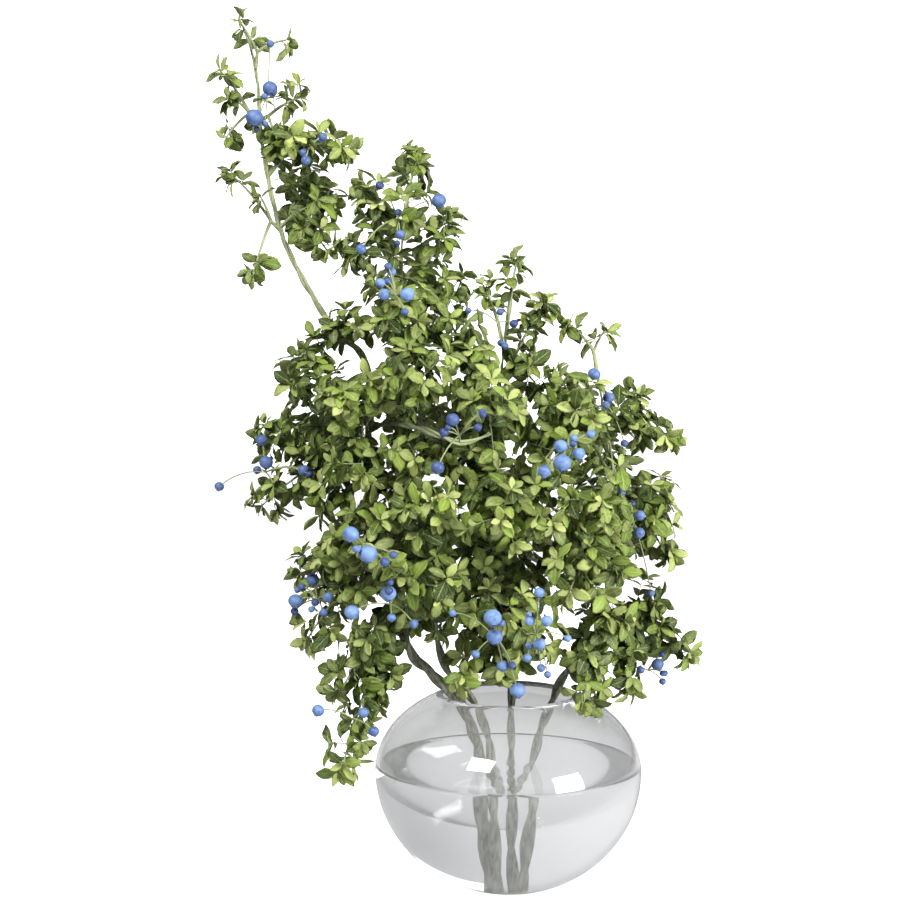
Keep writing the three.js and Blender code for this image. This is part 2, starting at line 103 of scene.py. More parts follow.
STEMS = (
    StemPlan("left", 5.5, 1.3, 3, (
        (-7, 6, FOOT_Z), (-24, 4, 105), (-42, -12, 158), (-70, -14, 188), (-86, -15, 204), (-98, -16, 237),
        (-107, -14, 271), (-116, -10, 315), (-124, -5, 360), (-126, 0, 396), (-124, 2, 432),
        (-132, 5, 473), (-157, 5, 496), (-173, 5, 520), (-188, 5, 546), (-203, 5, 578),
        (-213, 5, 612), (-220, 5, 648), (-225, 5, 684), (-227, 4, 720), (-232, 0, 750),
        (-239, -3, 770),
    )),
    StemPlan("upright", 4.6, 1.3, 2, (
        (-6, -6, FOOT_Z), (-14, -12, 105), (-28, -24, 158), (-56, -28, 196), (-64, -26, 220),
        (-69, -22, 254), (-75, -16, 298), (-81, -8, 342), (-88, 0, 388), (-94, 5, 432), (-96, 5, 478),
        (-97, 5, 524),
        (-96, 4, 568), (-92, 0, 602), (-86, 0, 642),
    )),
    StemPlan("middle", 4.4, 1.2, 2, (
        (4, 5, FOOT_Z), (3, 6, 105), (4, 6, 158), (3, 8, 190), (-5, 10, 212), (-8, 12, 240), (-7, 18, 280),
        (-10, 22, 322), (-15, 20, 368), (-14, 16, 405), (-8, 10, 442), (-3, 5, 478), (2, 0, 512),
        (6, 0, 546),
    )),
    StemPlan("right", 4.8, 1.2, 2, (
        (6, -5, FOOT_Z), (22, -4, 105), (38, -8, 158), (50, -8, 184), (64, -8, 204), (80, -6, 222),
        (90, -2, 246),
        (98, 4, 280), (102, 8, 315), (100, 8, 352), (92, 5, 394), (86, 0, 428), (81, 0, 458),
        (76, 0, 482),
    )),
    StemPlan("cross", 3.6, 1.8, 2, (
        (-125, 0, 405), (-109, -40, 411), (-77, -85, 405), (-60, -100, 398), (-44, -104, 393),
        (-31, -100, 395), (-19, -90, 401),
    )),
)

BOUGHS = (
    BoughPlan("left_bough_01", "left", 734, ((-243, -6, 774, 14), (-200, -4, 757, 11))),
    BoughPlan("left_bough_02", "left", 680, (
        (-250, -8, 705, 15), (-252, -12, 668, 10), (-259, -8, 728, 5),
    )),
    BoughPlan("left_bough_03", "left", 688, ((-188, 0, 706, 18), (-206, -18, 655, 14))),
    BoughPlan("left_bough_04", "left", 635, ((-146, 0, 659, 20), (-190, -35, 662, 21))),
    BoughPlan("left_bough_05", "left", 588, (
        (-160, 0, 612, 22), (-163, -10, 567, 18), (-190, 40, 640, 22),
    )),
    BoughPlan("left_bough_06", "left", 585, ((-253, 0, 638, 10), (-222, -6, 614, 7), (-229, -8, 544, 8))),
    BoughPlan("left_bough_07", "left", 478, ((-146, -20, 501, 27), (-180, -10, 479, 24))),
    BoughPlan("left_bough_08", "left", 405, (
        (-190, -30, 450, 28), (-140, -100, 425, 33), (-110, -70, 419, 32), (-125, -90, 366, 34),
    )),
    BoughPlan("left_bough_09", "left", 375, (
        (-225, 20, 398, 26), (-222, 0, 337, 24), (-176, 90, 420, 39), (-160, -40, 341, 28),
    )),
    BoughPlan("left_bough_10", "left", 275, (
        (-184, -20, 278, 27), (-175, -50, 224, 23), (-157, -60, 293, 26),
    )),
    BoughPlan("left_bough_11", "left", 232, (
        (-145, -60, 113, 17), (-115, -40, 167, 15), (-123, -70, 226, 21), (-146, -60, 181, 19),
    )),
    BoughPlan("left_bough_12", "left", 310, (
        (-124, -108, 309, 34), (-141, -75, 267, 28), (-105, -30, 352, 34),
    )),
    BoughPlan("upright_bough_01", "upright", 605, ((-82, 0, 652, 18), (-95, -20, 590, 22))),
    BoughPlan("upright_bough_02", "upright", 530, ((-128, 0, 624, 22), (-143, 0, 564, 25))),
    BoughPlan("upright_bough_03", "upright", 515, (
        (-54, 0, 591, 25), (-47, 0, 530, 29), (-36, -40, 473, 26),
    )),
    BoughPlan("upright_bough_04", "upright", 420, ((-98, -80, 513, 32), (-73, -105, 443, 36))),
    BoughPlan("upright_bough_05", "upright", 470, ((-95, 70, 546, 37),)),
    BoughPlan("upright_bough_06", "upright", 275, (
        (-68, -118, 346, 36), (-60, -104, 264, 31), (-95, -95, 271, 30), (-64, -60, 232, 22),
    )),
    BoughPlan("upright_bough_07", "upright", 380, ((-82, 100, 421, 44), (-82, -75, 379, 32))),
    BoughPlan("upright_bough_08", "upright", 295, ((-89, 100, 264, 43), (-154, 88, 304, 39))),
    BoughPlan("middle_bough_01", "middle", 490, ((8, 0, 556, 18),)),
    BoughPlan("middle_bough_02", "middle", 478, ((-22, 0, 536, 14),)),
    BoughPlan("middle_bough_03", "middle", 450, ((35, 0, 519, 14), (27, 0, 445, 31))),
    BoughPlan("middle_bough_04", "middle", 395, ((-35, -60, 473, 29), (-19, -108, 407, 34))),
    BoughPlan("middle_bough_05", "middle", 325, ((-11, -118, 330, 36), (31, -110, 328, 34))),
    BoughPlan("middle_bough_06", "middle", 240, (
        (-6, -92, 245, 32), (-8, -44, 192, 20), (29, -60, 220, 24), (-45, -60, 190, 15), (8, -60, 215, 24),
    )),
    BoughPlan("middle_bough_07", "middle", 375, ((-22, 100, 421, 45), (-45, -60, 374, 32))),
    BoughPlan("middle_bough_08", "middle", 285, (
        (-3, 104, 278, 45), (-46, 0, 318, 34), (-40, -20, 268, 30), (25, -20, 262, 34),
    )),
    BoughPlan("right_bough_01", "right", 460, ((87, 0, 494, 12), (57, 0, 500, 11))),
    BoughPlan("right_bough_02", "right", 410, ((118, 0, 436, 16), (150, 0, 397, 12), (118, -10, 405, 24))),
    BoughPlan("right_bough_03", "right", 335, ((140, 0, 351, 24), (144, 0, 291, 24), (129, -30, 325, 24))),
    BoughPlan("right_bough_04", "right", 250, (
        (135, 0, 249, 24), (160, -5, 200, 19), (118, -15, 206, 20), (110, -18, 173, 14),
    )),
    BoughPlan("right_bough_05", "right", 212, (
        (76, -26, 172, 14), (85, -60, 245, 25), (58, -50, 208, 22), (62, -66, 172, 13),
    )),
    BoughPlan("right_bough_06", "right", 395, (
        (52, -92, 420, 35), (27, -95, 380, 30), (44, -35, 441, 26), (18, -30, 400, 34),
    )),
    BoughPlan("right_bough_07", "right", 305, (
        (72, -112, 346, 36), (47, -98, 271, 35), (69, -92, 294, 32), (52, -30, 285, 34),
    )),
    BoughPlan("right_bough_08", "right", 335, ((77, 88, 407, 40), (116, 92, 304, 40))),
)

CLUSTERS = (
    ClusterPlan("spike_berries", (
        (-213, -12, 751, 7), (-212, -22, 708, 13.5), (-225, -26, 681, 16), (-216, -24, 676, 6),
    ), 2),
    ClusterPlan("spike_side_berries", (
        (-165, -22, 665, 8), (-181, -30, 649, 8), (-178, -40, 640, 8.5),
    ), 1),
    ClusterPlan("peak_berries", (
        (-115, -12, 624, 8), (-98, -22, 598, 7), (-96, -30, 577, 9), (-62, -14, 610, 13.5),
        (-129, -50, 561, 9.5),
    ), 1),
    ClusterPlan("peak_front_berries", (
        (-110, -92, 526, 8.5), (-106, -104, 515, 10), (-87, -112, 514, 12), (-89, -110, 500, 6.5),
        (-101, -84, 536, 7.5),
    ), 3),
    ClusterPlan("crown_berries", (
        (-7, -10, 511, 7), (5, -14, 500, 8), (-3, -14, 480, 7), (-36, -30, 510, 6),
    ), 1),
    ClusterPlan("shoulder_berries", ((75, -30, 454, 11.5), (87, -36, 433, 10.5), (103, -20, 393, 7)), 1),
    ClusterPlan("right_front_berries", (
        (37, -140, 377, 14.5), (37, -126, 390, 11.5), (51, -132, 384, 10.5), (23, -136, 370, 11),
        (62, -118, 400, 7.5),
    ), 2),
    ClusterPlan("right_side_berries", (
        (98, -40, 350, 7), (107, -38, 340, 7), (113, -44, 330, 9.5), (112, -46, 315, 10.5),
        (125, -30, 261, 7),
    ), 2),
    # Painted shade: this cluster's last value, 0.6, darkens its berries because they hang in shadow.
    ClusterPlan("centre_berries", (
        (-50, -140, 411, 11), (-57, -134, 401, 8), (-62, -140, 373, 11), (-26, -134, 417, 6.5),
        (-30, -138, 405, 7),
    ), 2, 0.6),
    ClusterPlan("left_lobe_berries", (
        (-221, -10, 396, 11), (-216, -18, 376, 12.5), (-181, -30, 369, 10.5), (-261, 0, 354, 9),
        (-226, -4, 369, 8),
    ), 1),
    ClusterPlan("left_front_berries", (
        (-131, -138, 320, 13.5), (-117, -145, 305, 15), (-104, -138, 298, 8),
    ), 2),
    ClusterPlan("low_left_berries", (
        (-171, -50, 275, 11.5), (-185, -56, 257, 13), (-156, -64, 261, 9.5), (-161, -56, 247, 7.5),
        (-181, -44, 268, 7), (-168, -58, 256, 7),
    ), 3),
    ClusterPlan("low_middle_left_berries", (
        (-133, -100, 253, 13), (-102, -120, 271, 13), (-82, -104, 244, 8), (-100, -110, 250, 7.5),
    ), 2),
    ClusterPlan("low_middle_berries", (
        (-18, -133, 253, 14.5), (-16, -121, 236, 13.5), (-8, -84, 206, 10), (5, -76, 184, 13.5),
        (-50, -120, 255, 6.5), (-31, -96, 218, 7.5),
    ), 2),
    ClusterPlan("low_right_berries", (
        (20, -124, 272, 9), (12, -118, 248, 7.5), (26, -122, 249, 9.5), (22, -100, 227, 10.5),
        (12, -92, 214, 7.5), (24, -88, 205, 7.5), (46, -90, 230, 6.5),
    ), 4),
    ClusterPlan("hanging_berries", ((-165, -62, 164, 11), (-126, -66, 163, 9.5), (-117, -66, 147, 9.5))),
    ClusterPlan("right_bough_berries", (
        (133, -18, 196, 11.5), (118, -18, 191, 7), (139, -8, 179, 6.5),
    ), 3),
)


# ----------------------------------------------------------------------------- node wiring


class Link:
    """An output socket that takes part in Python expressions."""

    def __init__(self, wiring: "Wiring", socket: bpy.types.NodeSocket) -> None:
        """Keeps the socket and the wiring that new nodes go into."""
        self.wiring = wiring
        self.socket = socket

    @property
    def is_vector(self) -> bool:
        """True if the socket carries a vector."""
        return self.socket.type == "VECTOR"

    def __add__(self, other: "Term") -> "Link":
        """Sum."""
        return self.wiring.join("ADD", self, other)

    def __radd__(self, other: "Term") -> "Link":
        """Sum, with the link on the right."""
        return self.wiring.join("ADD", other, self)

    def __sub__(self, other: "Term") -> "Link":
        """Difference."""
        return self.wiring.join("SUBTRACT", self, other)

    def __rsub__(self, other: "Term") -> "Link":
        """Difference, with the link on the right."""
        return self.wiring.join("SUBTRACT", other, self)

    def __mul__(self, other: "Term") -> "Link":
        """Product."""
        return self.wiring.join("MULTIPLY", self, other)

    def __rmul__(self, other: "Term") -> "Link":
        """Product, with the link on the right."""
        return self.wiring.join("MULTIPLY", other, self)

    def __truediv__(self, other: "Term") -> "Link":
        """Quotient."""
        return self.wiring.join("DIVIDE", self, other)


Term = Link | float | int | Sequence[float]


class Wiring:
    """Adds nodes to a shader tree or a geometry tree."""

    def __init__(self, tree: bpy.types.NodeTree) -> None:
        """Keeps the tree."""
        self.tree = tree

    def node(
        self,
        kind: str,
        settings: dict[str, Any] | None = None,
        inputs: dict[str | int, Any] | None = None,
        output: str | int = 0,
    ) -> Link:
        """Adds one node.

        Args:
            kind: The node's type name.
            settings: Properties set on the node before its sockets.
            inputs: Values or links for its sockets, by name or index.
            output: Which output the returned link stands for.

        Returns:
            The chosen output as a link.
        """
        made = self.tree.nodes.new(kind)
        for name, value in (settings or {}).items():
            setattr(made, name, value)
        for key, value in (inputs or {}).items():
            self.feed(made.inputs[key], value)
        return Link(self, made.outputs[output])

    def feed(self, socket: bpy.types.NodeSocket, value: Any) -> None:
        """Links or sets one input socket."""
        if isinstance(value, Link):
            self.tree.links.new(value.socket, socket)
        else:
            socket.default_value = value

    def join(self, operation: str, *terms: Term) -> Link:
        """Adds a Math node, or a Vector Math node if any term is a vector.

        Args:
            operation: The node's operation.
            *terms: Links, numbers or triples.

        Returns:
            The result as a link.
        """
        is_vector = any(
            isinstance(term, (tuple, Vector)) or isinstance(term, Link) and term.is_vector for term in terms
        )
        kind = "ShaderNodeVectorMath" if is_vector else "ShaderNodeMath"
        values = [self.triple(t) if is_vector else t for t in terms]
        return self.node(kind, {"operation": operation}, dict(enumerate(values)))

    @staticmethod
    def triple(term: Term) -> Term:
        """A plain number as a vector with three equal parts."""
        return (term, term, term) if isinstance(term, (int, float)) else term

    def sine(self, angle: Link) -> Link:
        """Sine of an angle in radians."""
        return self.node("ShaderNodeMath", {"operation": "SINE"}, {0: angle})

    def cosine(self, angle: Link) -> Link:
        """Cosine of an angle in radians."""
        return self.node("ShaderNodeMath", {"operation": "COSINE"}, {0: angle})

    def size(self, value: Link) -> Link:
        """Absolute value."""
        return self.node("ShaderNodeMath", {"operation": "ABSOLUTE"}, {0: value})

    def cross(self, a: Link, b: Link) -> Link:
        """Cross product."""
        return self.node("ShaderNodeVectorMath", {"operation": "CROSS_PRODUCT"}, {0: a, 1: b})

    def part(self, vector: Link, axis: str) -> Link:
        """One part of a vector, named X, Y or Z."""
        return self.node("ShaderNodeSeparateXYZ", inputs={0: vector}, output=axis)

    def ease(self, value: Link, low: float, high: float) -> Link:
        """0 below low, 1 above high and smooth between; low may be the greater."""
        ranges = {"Value": value, "From Min": low, "From Max": high, "To Min": 0.0, "To Max": 1.0}
        return self.node("ShaderNodeMapRange", {"interpolation_type": "SMOOTHSTEP"}, ranges)

    def blend(self, share: Link | float, a: Any, b: Any) -> Link:
        """Mixes two colours by a share."""
        mix = {"data_type": "RGBA", "blend_type": "MIX"}
        return self.node("ShaderNodeMix", mix, {0: share, 6: a, 7: b}, output=2)

    def noise(self, place: Link, scale: float, detail: float = 3.0, roughness: float = 0.55) -> Link:
        """Noise between 0 and 1 at a place."""
        inputs = {"Vector": place, "Scale": scale, "Detail": detail, "Roughness": roughness}
        return self.node("ShaderNodeTexNoise", inputs=inputs, output=0)


# ----------------------------------------------------------------------------- finishes


def colour(red: float, green: float, blue: float) -> tuple[float, float, float, float]:
    """An opaque colour from 0 to 255 screen values, as the linear colour that shaders take."""

    def linear(value: float) -> float:
        """One channel."""
        share = value / 255.0
        return share / 12.92 if share <= 0.04045 else ((share + 0.055) / 1.055) ** 2.4

    return linear(red), linear(green), linear(blue), 1.0


class Finish:
    """A procedural material. Subclasses say how its surface is wired."""

    name = "finish"

    def material(self) -> bpy.types.Material:
        """Builds the material.

        Returns:
            The new material.
        """
        made = bpy.data.materials.new(self.name)
        made.use_nodes = True
        made.node_tree.nodes.clear()
        wiring = Wiring(made.node_tree)
        surface = self.surface(wiring)
        output = made.node_tree.nodes.new("ShaderNodeOutputMaterial")
        wiring.feed(output.inputs["Surface"], surface)
        return made

    def surface(self, wiring: Wiring) -> Link:
        """Wires the shader and returns its output."""
        raise NotImplementedError

    @staticmethod
    def principled(wiring: Wiring, **values: Any) -> Link:
        """A Principled shader; underscores in the names stand for spaces."""
        inputs = {name.replace("_", " "): value for name, value in values.items()}
        return wiring.node("ShaderNodeBsdfPrincipled", inputs=inputs)

    @staticmethod
    def bump(wiring: Wiring, strength: float, distance: float, height: Link) -> Link:
        """A normal tilted by a height."""
        values = {"Strength": strength, "Distance": distance, "Height": height}
        return wiring.node("ShaderNodeBump", inputs=values)

    @staticmethod
    def attribute(wiring: Wiring, name: str, output: str = "Fac") -> Link:
        """An attribute of the piece's own mesh."""
        return wiring.node("ShaderNodeAttribute", {"attribute_name": name}, output=output)

    @staticmethod
    def place(wiring: Wiring) -> Link:
        """The Object coordinates."""
        return wiring.node("ShaderNodeTexCoord", output="Object")


@dataclass(frozen=True)
class LeafFinish(Finish):
    """Leathery leaf: green blade, pale midrib and veins, paler underside, a few red margins, and painted
    shade that darkens the leaves deeper inside the foliage.
    """

    name: str = "leaf_blade"
    # Dark green of old leaves, made near black so that it also serves as painted shade deep in the foliage.
    dark: tuple[float, ...] = colour(44, 60, 20)
    middle: tuple[float, ...] = colour(120, 142, 56)
    bright: tuple[float, ...] = colour(166, 176, 106)
    rib: tuple[float, ...] = colour(196, 204, 140)
    under: tuple[float, ...] = colour(130, 142, 92)
    blush: tuple[float, ...] = colour(178, 136, 84)
    vein_pairs: float = 6.0
    vein_slant: float = 1.7
    translucence: float = 0.06

    def surface(self, wiring: Wiring) -> Link:
        """Wires the leaf's shader and returns its output."""
        blade = self.attribute(wiring, "blade", "Vector")
        tone = self.attribute(wiring, "tone")
        youth = self.attribute(wiring, "youth")
        place = self.place(wiring)
        along = wiring.part(blade, "X")
        across = wiring.size(wiring.part(blade, "Y"))
        below = wiring.ease(wiring.part(blade, "Z"), 0.0, -0.02)
        mottle = wiring.noise(place, 190.0, 4.0, 0.6)
        speckle = wiring.noise(place, 900.0, 2.0)
        rib = wiring.ease(across, 0.10, 0.01)
        phase = (along * self.vein_pairs - across * self.vein_slant) * (2 * math.pi)
        vein = wiring.ease(wiring.sine(phase), 0.72, 1.0) * wiring.ease(across, 1.0, 0.75)
        # The tone and youth values carry painted shade: leaves near the bough's root take more of the dark
        # green and less of the bright one.
        green = wiring.blend(wiring.ease(tone + (mottle - 0.5) * 0.8, 0.05, 0.95), self.dark, self.middle)
        green = wiring.blend(wiring.ease(youth + (mottle - 0.5) * 0.5, 0.15, 0.95), green, self.bright)
        green = wiring.blend(vein * 0.10, green, self.rib)
        green = wiring.blend(rib * 0.35, green, self.rib)
        margin = wiring.ease(across, 0.78, 1.0) * wiring.ease(tone, 0.72, 0.95)
        green = wiring.blend(margin * 0.55, green, self.blush)
        pale = wiring.blend(rib * 0.5 + vein * 0.35, self.under, self.rib)
        face = wiring.blend(below, green, wiring.blend(mottle * 0.35, pale, self.middle))
        height = rib * -0.5 + vein * -0.22 + mottle * 0.25 + speckle * 0.12
        bump = self.bump(wiring, 0.45, 0.0006, height)
        gloss = 0.40 + mottle * 0.16 + below * 0.22
        body = self.principled(
            wiring, Base_Color=face, Roughness=gloss, Normal=bump, IOR=1.45, Specular_IOR_Level=0.28
        )
        glow = wiring.node("ShaderNodeBsdfTranslucent", inputs={"Color": face, "Normal": bump})
        return wiring.node("ShaderNodeMixShader", inputs={0: self.translucence, 1: body, 2: glow})


@dataclass(frozen=True)
class BarkFinish(Finish):
    """Olive grey-brown bark with long pale ridges; thin young wood is greener."""

    name: str = "bark"
    furrow: tuple[float, ...] = colour(86, 88, 72)
    ridge: tuple[float, ...] = colour(152, 154, 132)
    young: tuple[float, ...] = colour(138, 148, 102)
    young_radius: tuple[float, float] = (0.0042, 0.0022)

    def surface(self, wiring: Wiring) -> Link:
        """Wires the bark's shader and returns its output."""
        place = self.place(wiring)
        stretch = wiring.node("ShaderNodeMapping", inputs={"Vector": place, "Scale": (1.0, 1.0, 0.22)})
        fibre = wiring.noise(stretch, 520.0, 5.0, 0.65)
        patch = wiring.noise(place, 70.0, 3.0)
        lichen = wiring.ease(wiring.noise(place, 210.0, 4.0), 0.60, 0.74)
        wood = wiring.blend(wiring.ease(fibre + (patch - 0.5) * 0.5, 0.32, 0.68), self.furrow, self.ridge)
        wood = wiring.blend(lichen * 0.35, wood, self.ridge)
        thin = wiring.ease(self.attribute(wiring, "thickness"), *self.young_radius)
        face = wiring.blend(thin * 0.75, wood, self.young)
        height = fibre + patch * 0.4
        bump = self.bump(wiring, 0.45, 0.0006, height)
        return self.principled(wiring, Base_Color=face, Roughness=0.62 + fibre * 0.25, Normal=bump)


@dataclass(frozen=True)
class BerryFinish(Finish):
    """Blue skin under a pale waxy bloom that is rubbed off in places; the crown is dusky. Riper skin turns
    navy with less bloom, and the same darkening is painted shade on berries that hang further back.
    """

    name: str = "berry_skin"
    skin: tuple[float, ...] = colour(44, 64, 124)
    bloom: tuple[float, ...] = colour(112, 142, 188)
    # Navy of ripe berries, also used as painted shade.
    ripe: tuple[float, ...] = colour(28, 32, 70)
    crown: tuple[float, ...] = colour(58, 76, 130)

    def surface(self, wiring: Wiring) -> Link:
        """Wires the berry's shader and returns its output."""
        place = self.place(wiring)
        ripeness = self.attribute(wiring, "ripeness")
        dusk = self.attribute(wiring, "dusk")
        cloud = wiring.noise(place, 150.0, 4.0, 0.6)
        grain = wiring.noise(place, 1400.0, 2.0)
        rubbed = wiring.ease(wiring.noise(place, 95.0, 2.0), 0.62, 0.74)
        wax = wiring.ease(cloud + (grain - 0.5) * 0.25, 0.18, 0.55) * (1.0 - rubbed * 0.55)
        # The ripeness value also carries painted shade: berries further back lose bloom and darken to navy.
        face = wiring.blend(wax * (1.0 - ripeness * 0.8), self.skin, self.bloom)
        face = wiring.blend(ripeness * 0.55, face, self.ripe)
        face = wiring.blend(dusk * 0.6, face, self.crown)
        height = cloud * 0.3 + grain * 0.2
        bump = self.bump(wiring, 0.35, 0.0003, height)
        gloss = 0.34 + wax * 0.2 + dusk * 0.2
        return self.principled(
            wiring, Base_Color=face, Roughness=gloss, Normal=bump, Specular_IOR_Level=0.45
        )


@dataclass(frozen=True)
class GlassFinish(Finish):
    """Clear blown glass with the faintest grey and a slow waviness."""

    name: str = "clear_glass"
    tint: tuple[float, ...] = (0.965, 0.968, 0.975, 1.0)
    ior: float = 1.46
    clear: float = 0.92

    def surface(self, wiring: Wiring) -> Link:
        """Wires the glass's shader and returns its output."""
        wave = wiring.noise(self.place(wiring), 14.0, 1.0)
        bump = self.bump(wiring, 0.05, 0.002, wave)
        return self.principled(
            wiring,
            Base_Color=self.tint,
            Roughness=0.0,
            IOR=self.ior,
            Transmission_Weight=self.clear,
            Normal=bump,
        )


@dataclass(frozen=True)
class WaterFinish(Finish):
    """Still clear water with a slow ripple in its surface."""

    name: str = "still_water"
    tint: tuple[float, ...] = (0.95, 0.955, 0.96, 1.0)
    ior: float = 1.33

    def surface(self, wiring: Wiring) -> Link:
        """Wires the water's shader and returns its output."""
        ripple = wiring.noise(self.place(wiring), 22.0, 1.0)
        bump = self.bump(wiring, 0.06, 0.002, ripple)
        return self.principled(
            wiring, Base_Color=self.tint, Roughness=0.0, IOR=self.ior, Transmission_Weight=1.0, Normal=bump
        )


@dataclass(frozen=True)
class FloorFinish(Finish):
    """Plain white studio floor that glows where it is seen, so that it stays as pale as the backdrop.

    Little light bounces off it into the leaves. Through the glass it shows a set grey glow in place of its
    lit paint: painted light, with painted shade on one side of the object and more painted light on the
    other.
    """

    name: str = "studio_floor"
    white: tuple[float, ...] = (0.93, 0.93, 0.93, 1.0)
    worn: tuple[float, ...] = (0.90, 0.90, 0.90, 1.0)
    bounced: tuple[float, ...] = (0.05, 0.05, 0.05, 1.0)
    bounce_loss: float = 0.75
    open_level: float = 1.1
    # Levels of the glow seen through the glass: painted light, with painted shade on the +X side and
    # painted light on the -X side.
    painted_glow_level: float = 0.68
    painted_shade_loss: float = 0.6
    painted_light_gain: float = 0.3

    def surface(self, wiring: Wiring) -> Link:
        """Wires the floor's shader and returns its output."""
        grain = wiring.noise(self.place(wiring), 6.0, 2.0)
        face = wiring.blend(grain, self.worn, self.white)
        seen = wiring.node("ShaderNodeLightPath", output="Is Camera Ray")
        through = wiring.node("ShaderNodeLightPath", output="Is Transmission Ray")
        glow = wiring.node("ShaderNodeEmission", inputs={"Strength": seen * self.open_level})
        bounce = wiring.node("ShaderNodeLightPath", output="Is Diffuse Ray")
        face = wiring.blend(bounce * self.bounce_loss, face, self.bounced)
        paint = self.principled(wiring, Base_Color=face, Roughness=0.9)
        open_floor = wiring.node("ShaderNodeAddShader", inputs={0: paint, 1: glow})
        # Painted light and shade: the glow through the glass is dimmed at +X and raised at -X.
        dim_side = wiring.ease(wiring.part(self.place(wiring), "X"), 0.05, 0.9)
        painted_light_side = wiring.ease(wiring.part(self.place(wiring), "X"), -0.1, -0.7)
        level = (1.0 - dim_side * self.painted_shade_loss + painted_light_side * self.painted_light_gain) * self.painted_glow_level
        painted_glow_through_glass = wiring.node("ShaderNodeEmission", inputs={"Strength": level})
        return wiring.node("ShaderNodeMixShader", inputs={0: through, 1: open_floor, 2: painted_glow_through_glass})


# ----------------------------------------------------------------------------- curves and growth


def to_metres(point: Sequence[float]) -> Vector:
    """A layout point, in millimetres, as a vector in metres."""
    return Vector(point[:3]) * MM


class Route:
    """A smooth route through points, by centripetal Catmull-Rom, sampled evenly in its parameter."""

    def __init__(self, points: Sequence[Vector], samples: int = 24) -> None:
        """Samples the route between each pair of points."""
        ends = [points[0] * 2 - points[1], *points, points[-1] * 2 - points[-2]]
        self.points: list[Vector] = []
        for i in range(1, len(ends) - 2):
            span = ends[i - 1 : i + 3]
            self.points.extend(self.between(span, k / samples) for k in range(samples))
        self.points.append(points[-1].copy())

    @staticmethod
    def between(span: Sequence[Vector], share: float) -> Vector:
        """A point between the middle two of four points."""
        knots = [0.0]
        for a, b in zip(span, span[1:]):
            knots.append(knots[-1] + max((b - a).length ** 0.5, 1e-9))
        t = knots[1] + share * (knots[2] - knots[1])

        def mix(a: Vector, b: Vector, low: float, high: float) -> Vector:
            """Straight mix of two points over a range of knots."""
            return a * ((high - t) / (high - low)) + b * ((t - low) / (high - low))

        first = [mix(span[i], span[i + 1], knots[i], knots[i + 1]) for i in range(3)]
        second = [mix(first[i], first[i + 1], knots[i], knots[i + 2]) for i in range(2)]
        return mix(second[0], second[1], knots[1], knots[2])

    def at_height(self, height: float) -> Vector:
        """The point on the route at a height, for routes that only climb."""
        return min(self.points, key=lambda point: abs(point.z - height)).copy()


def arc(start: Vector, crest: Vector, end: Vector, steps: int) -> list[Vector]:
    """Points along a quadratic curve."""
    shares = (k / steps for k in range(steps + 1))
    return [start * (1 - t) ** 2 + crest * (2 * t * (1 - t)) + end * t**2 for t in shares]


@dataclass
class Twig:
    """A thin woody line with a radius at each end."""

    points: list[Vector]
    start: float
    end: float


@dataclass
class Leaf:
    """One leaf: where it grows from, where it points, which way its upper face looks, and its form."""

    root: Vector
    along: Vector
    facing: Vector
    length: float
    width: float
    curl: float
    fold: float
    # tone: random tone of the blade, lowered towards the bough's root as painted shade; youth: young and
    # bright near the tips, also lowered there as painted shade.
    tone: float
    youth: float


@dataclass
class Growth:
    """What one bough grows."""

    twigs: list[Twig] = field(default_factory=list)
    leaves: list[Leaf] = field(default_factory=list)


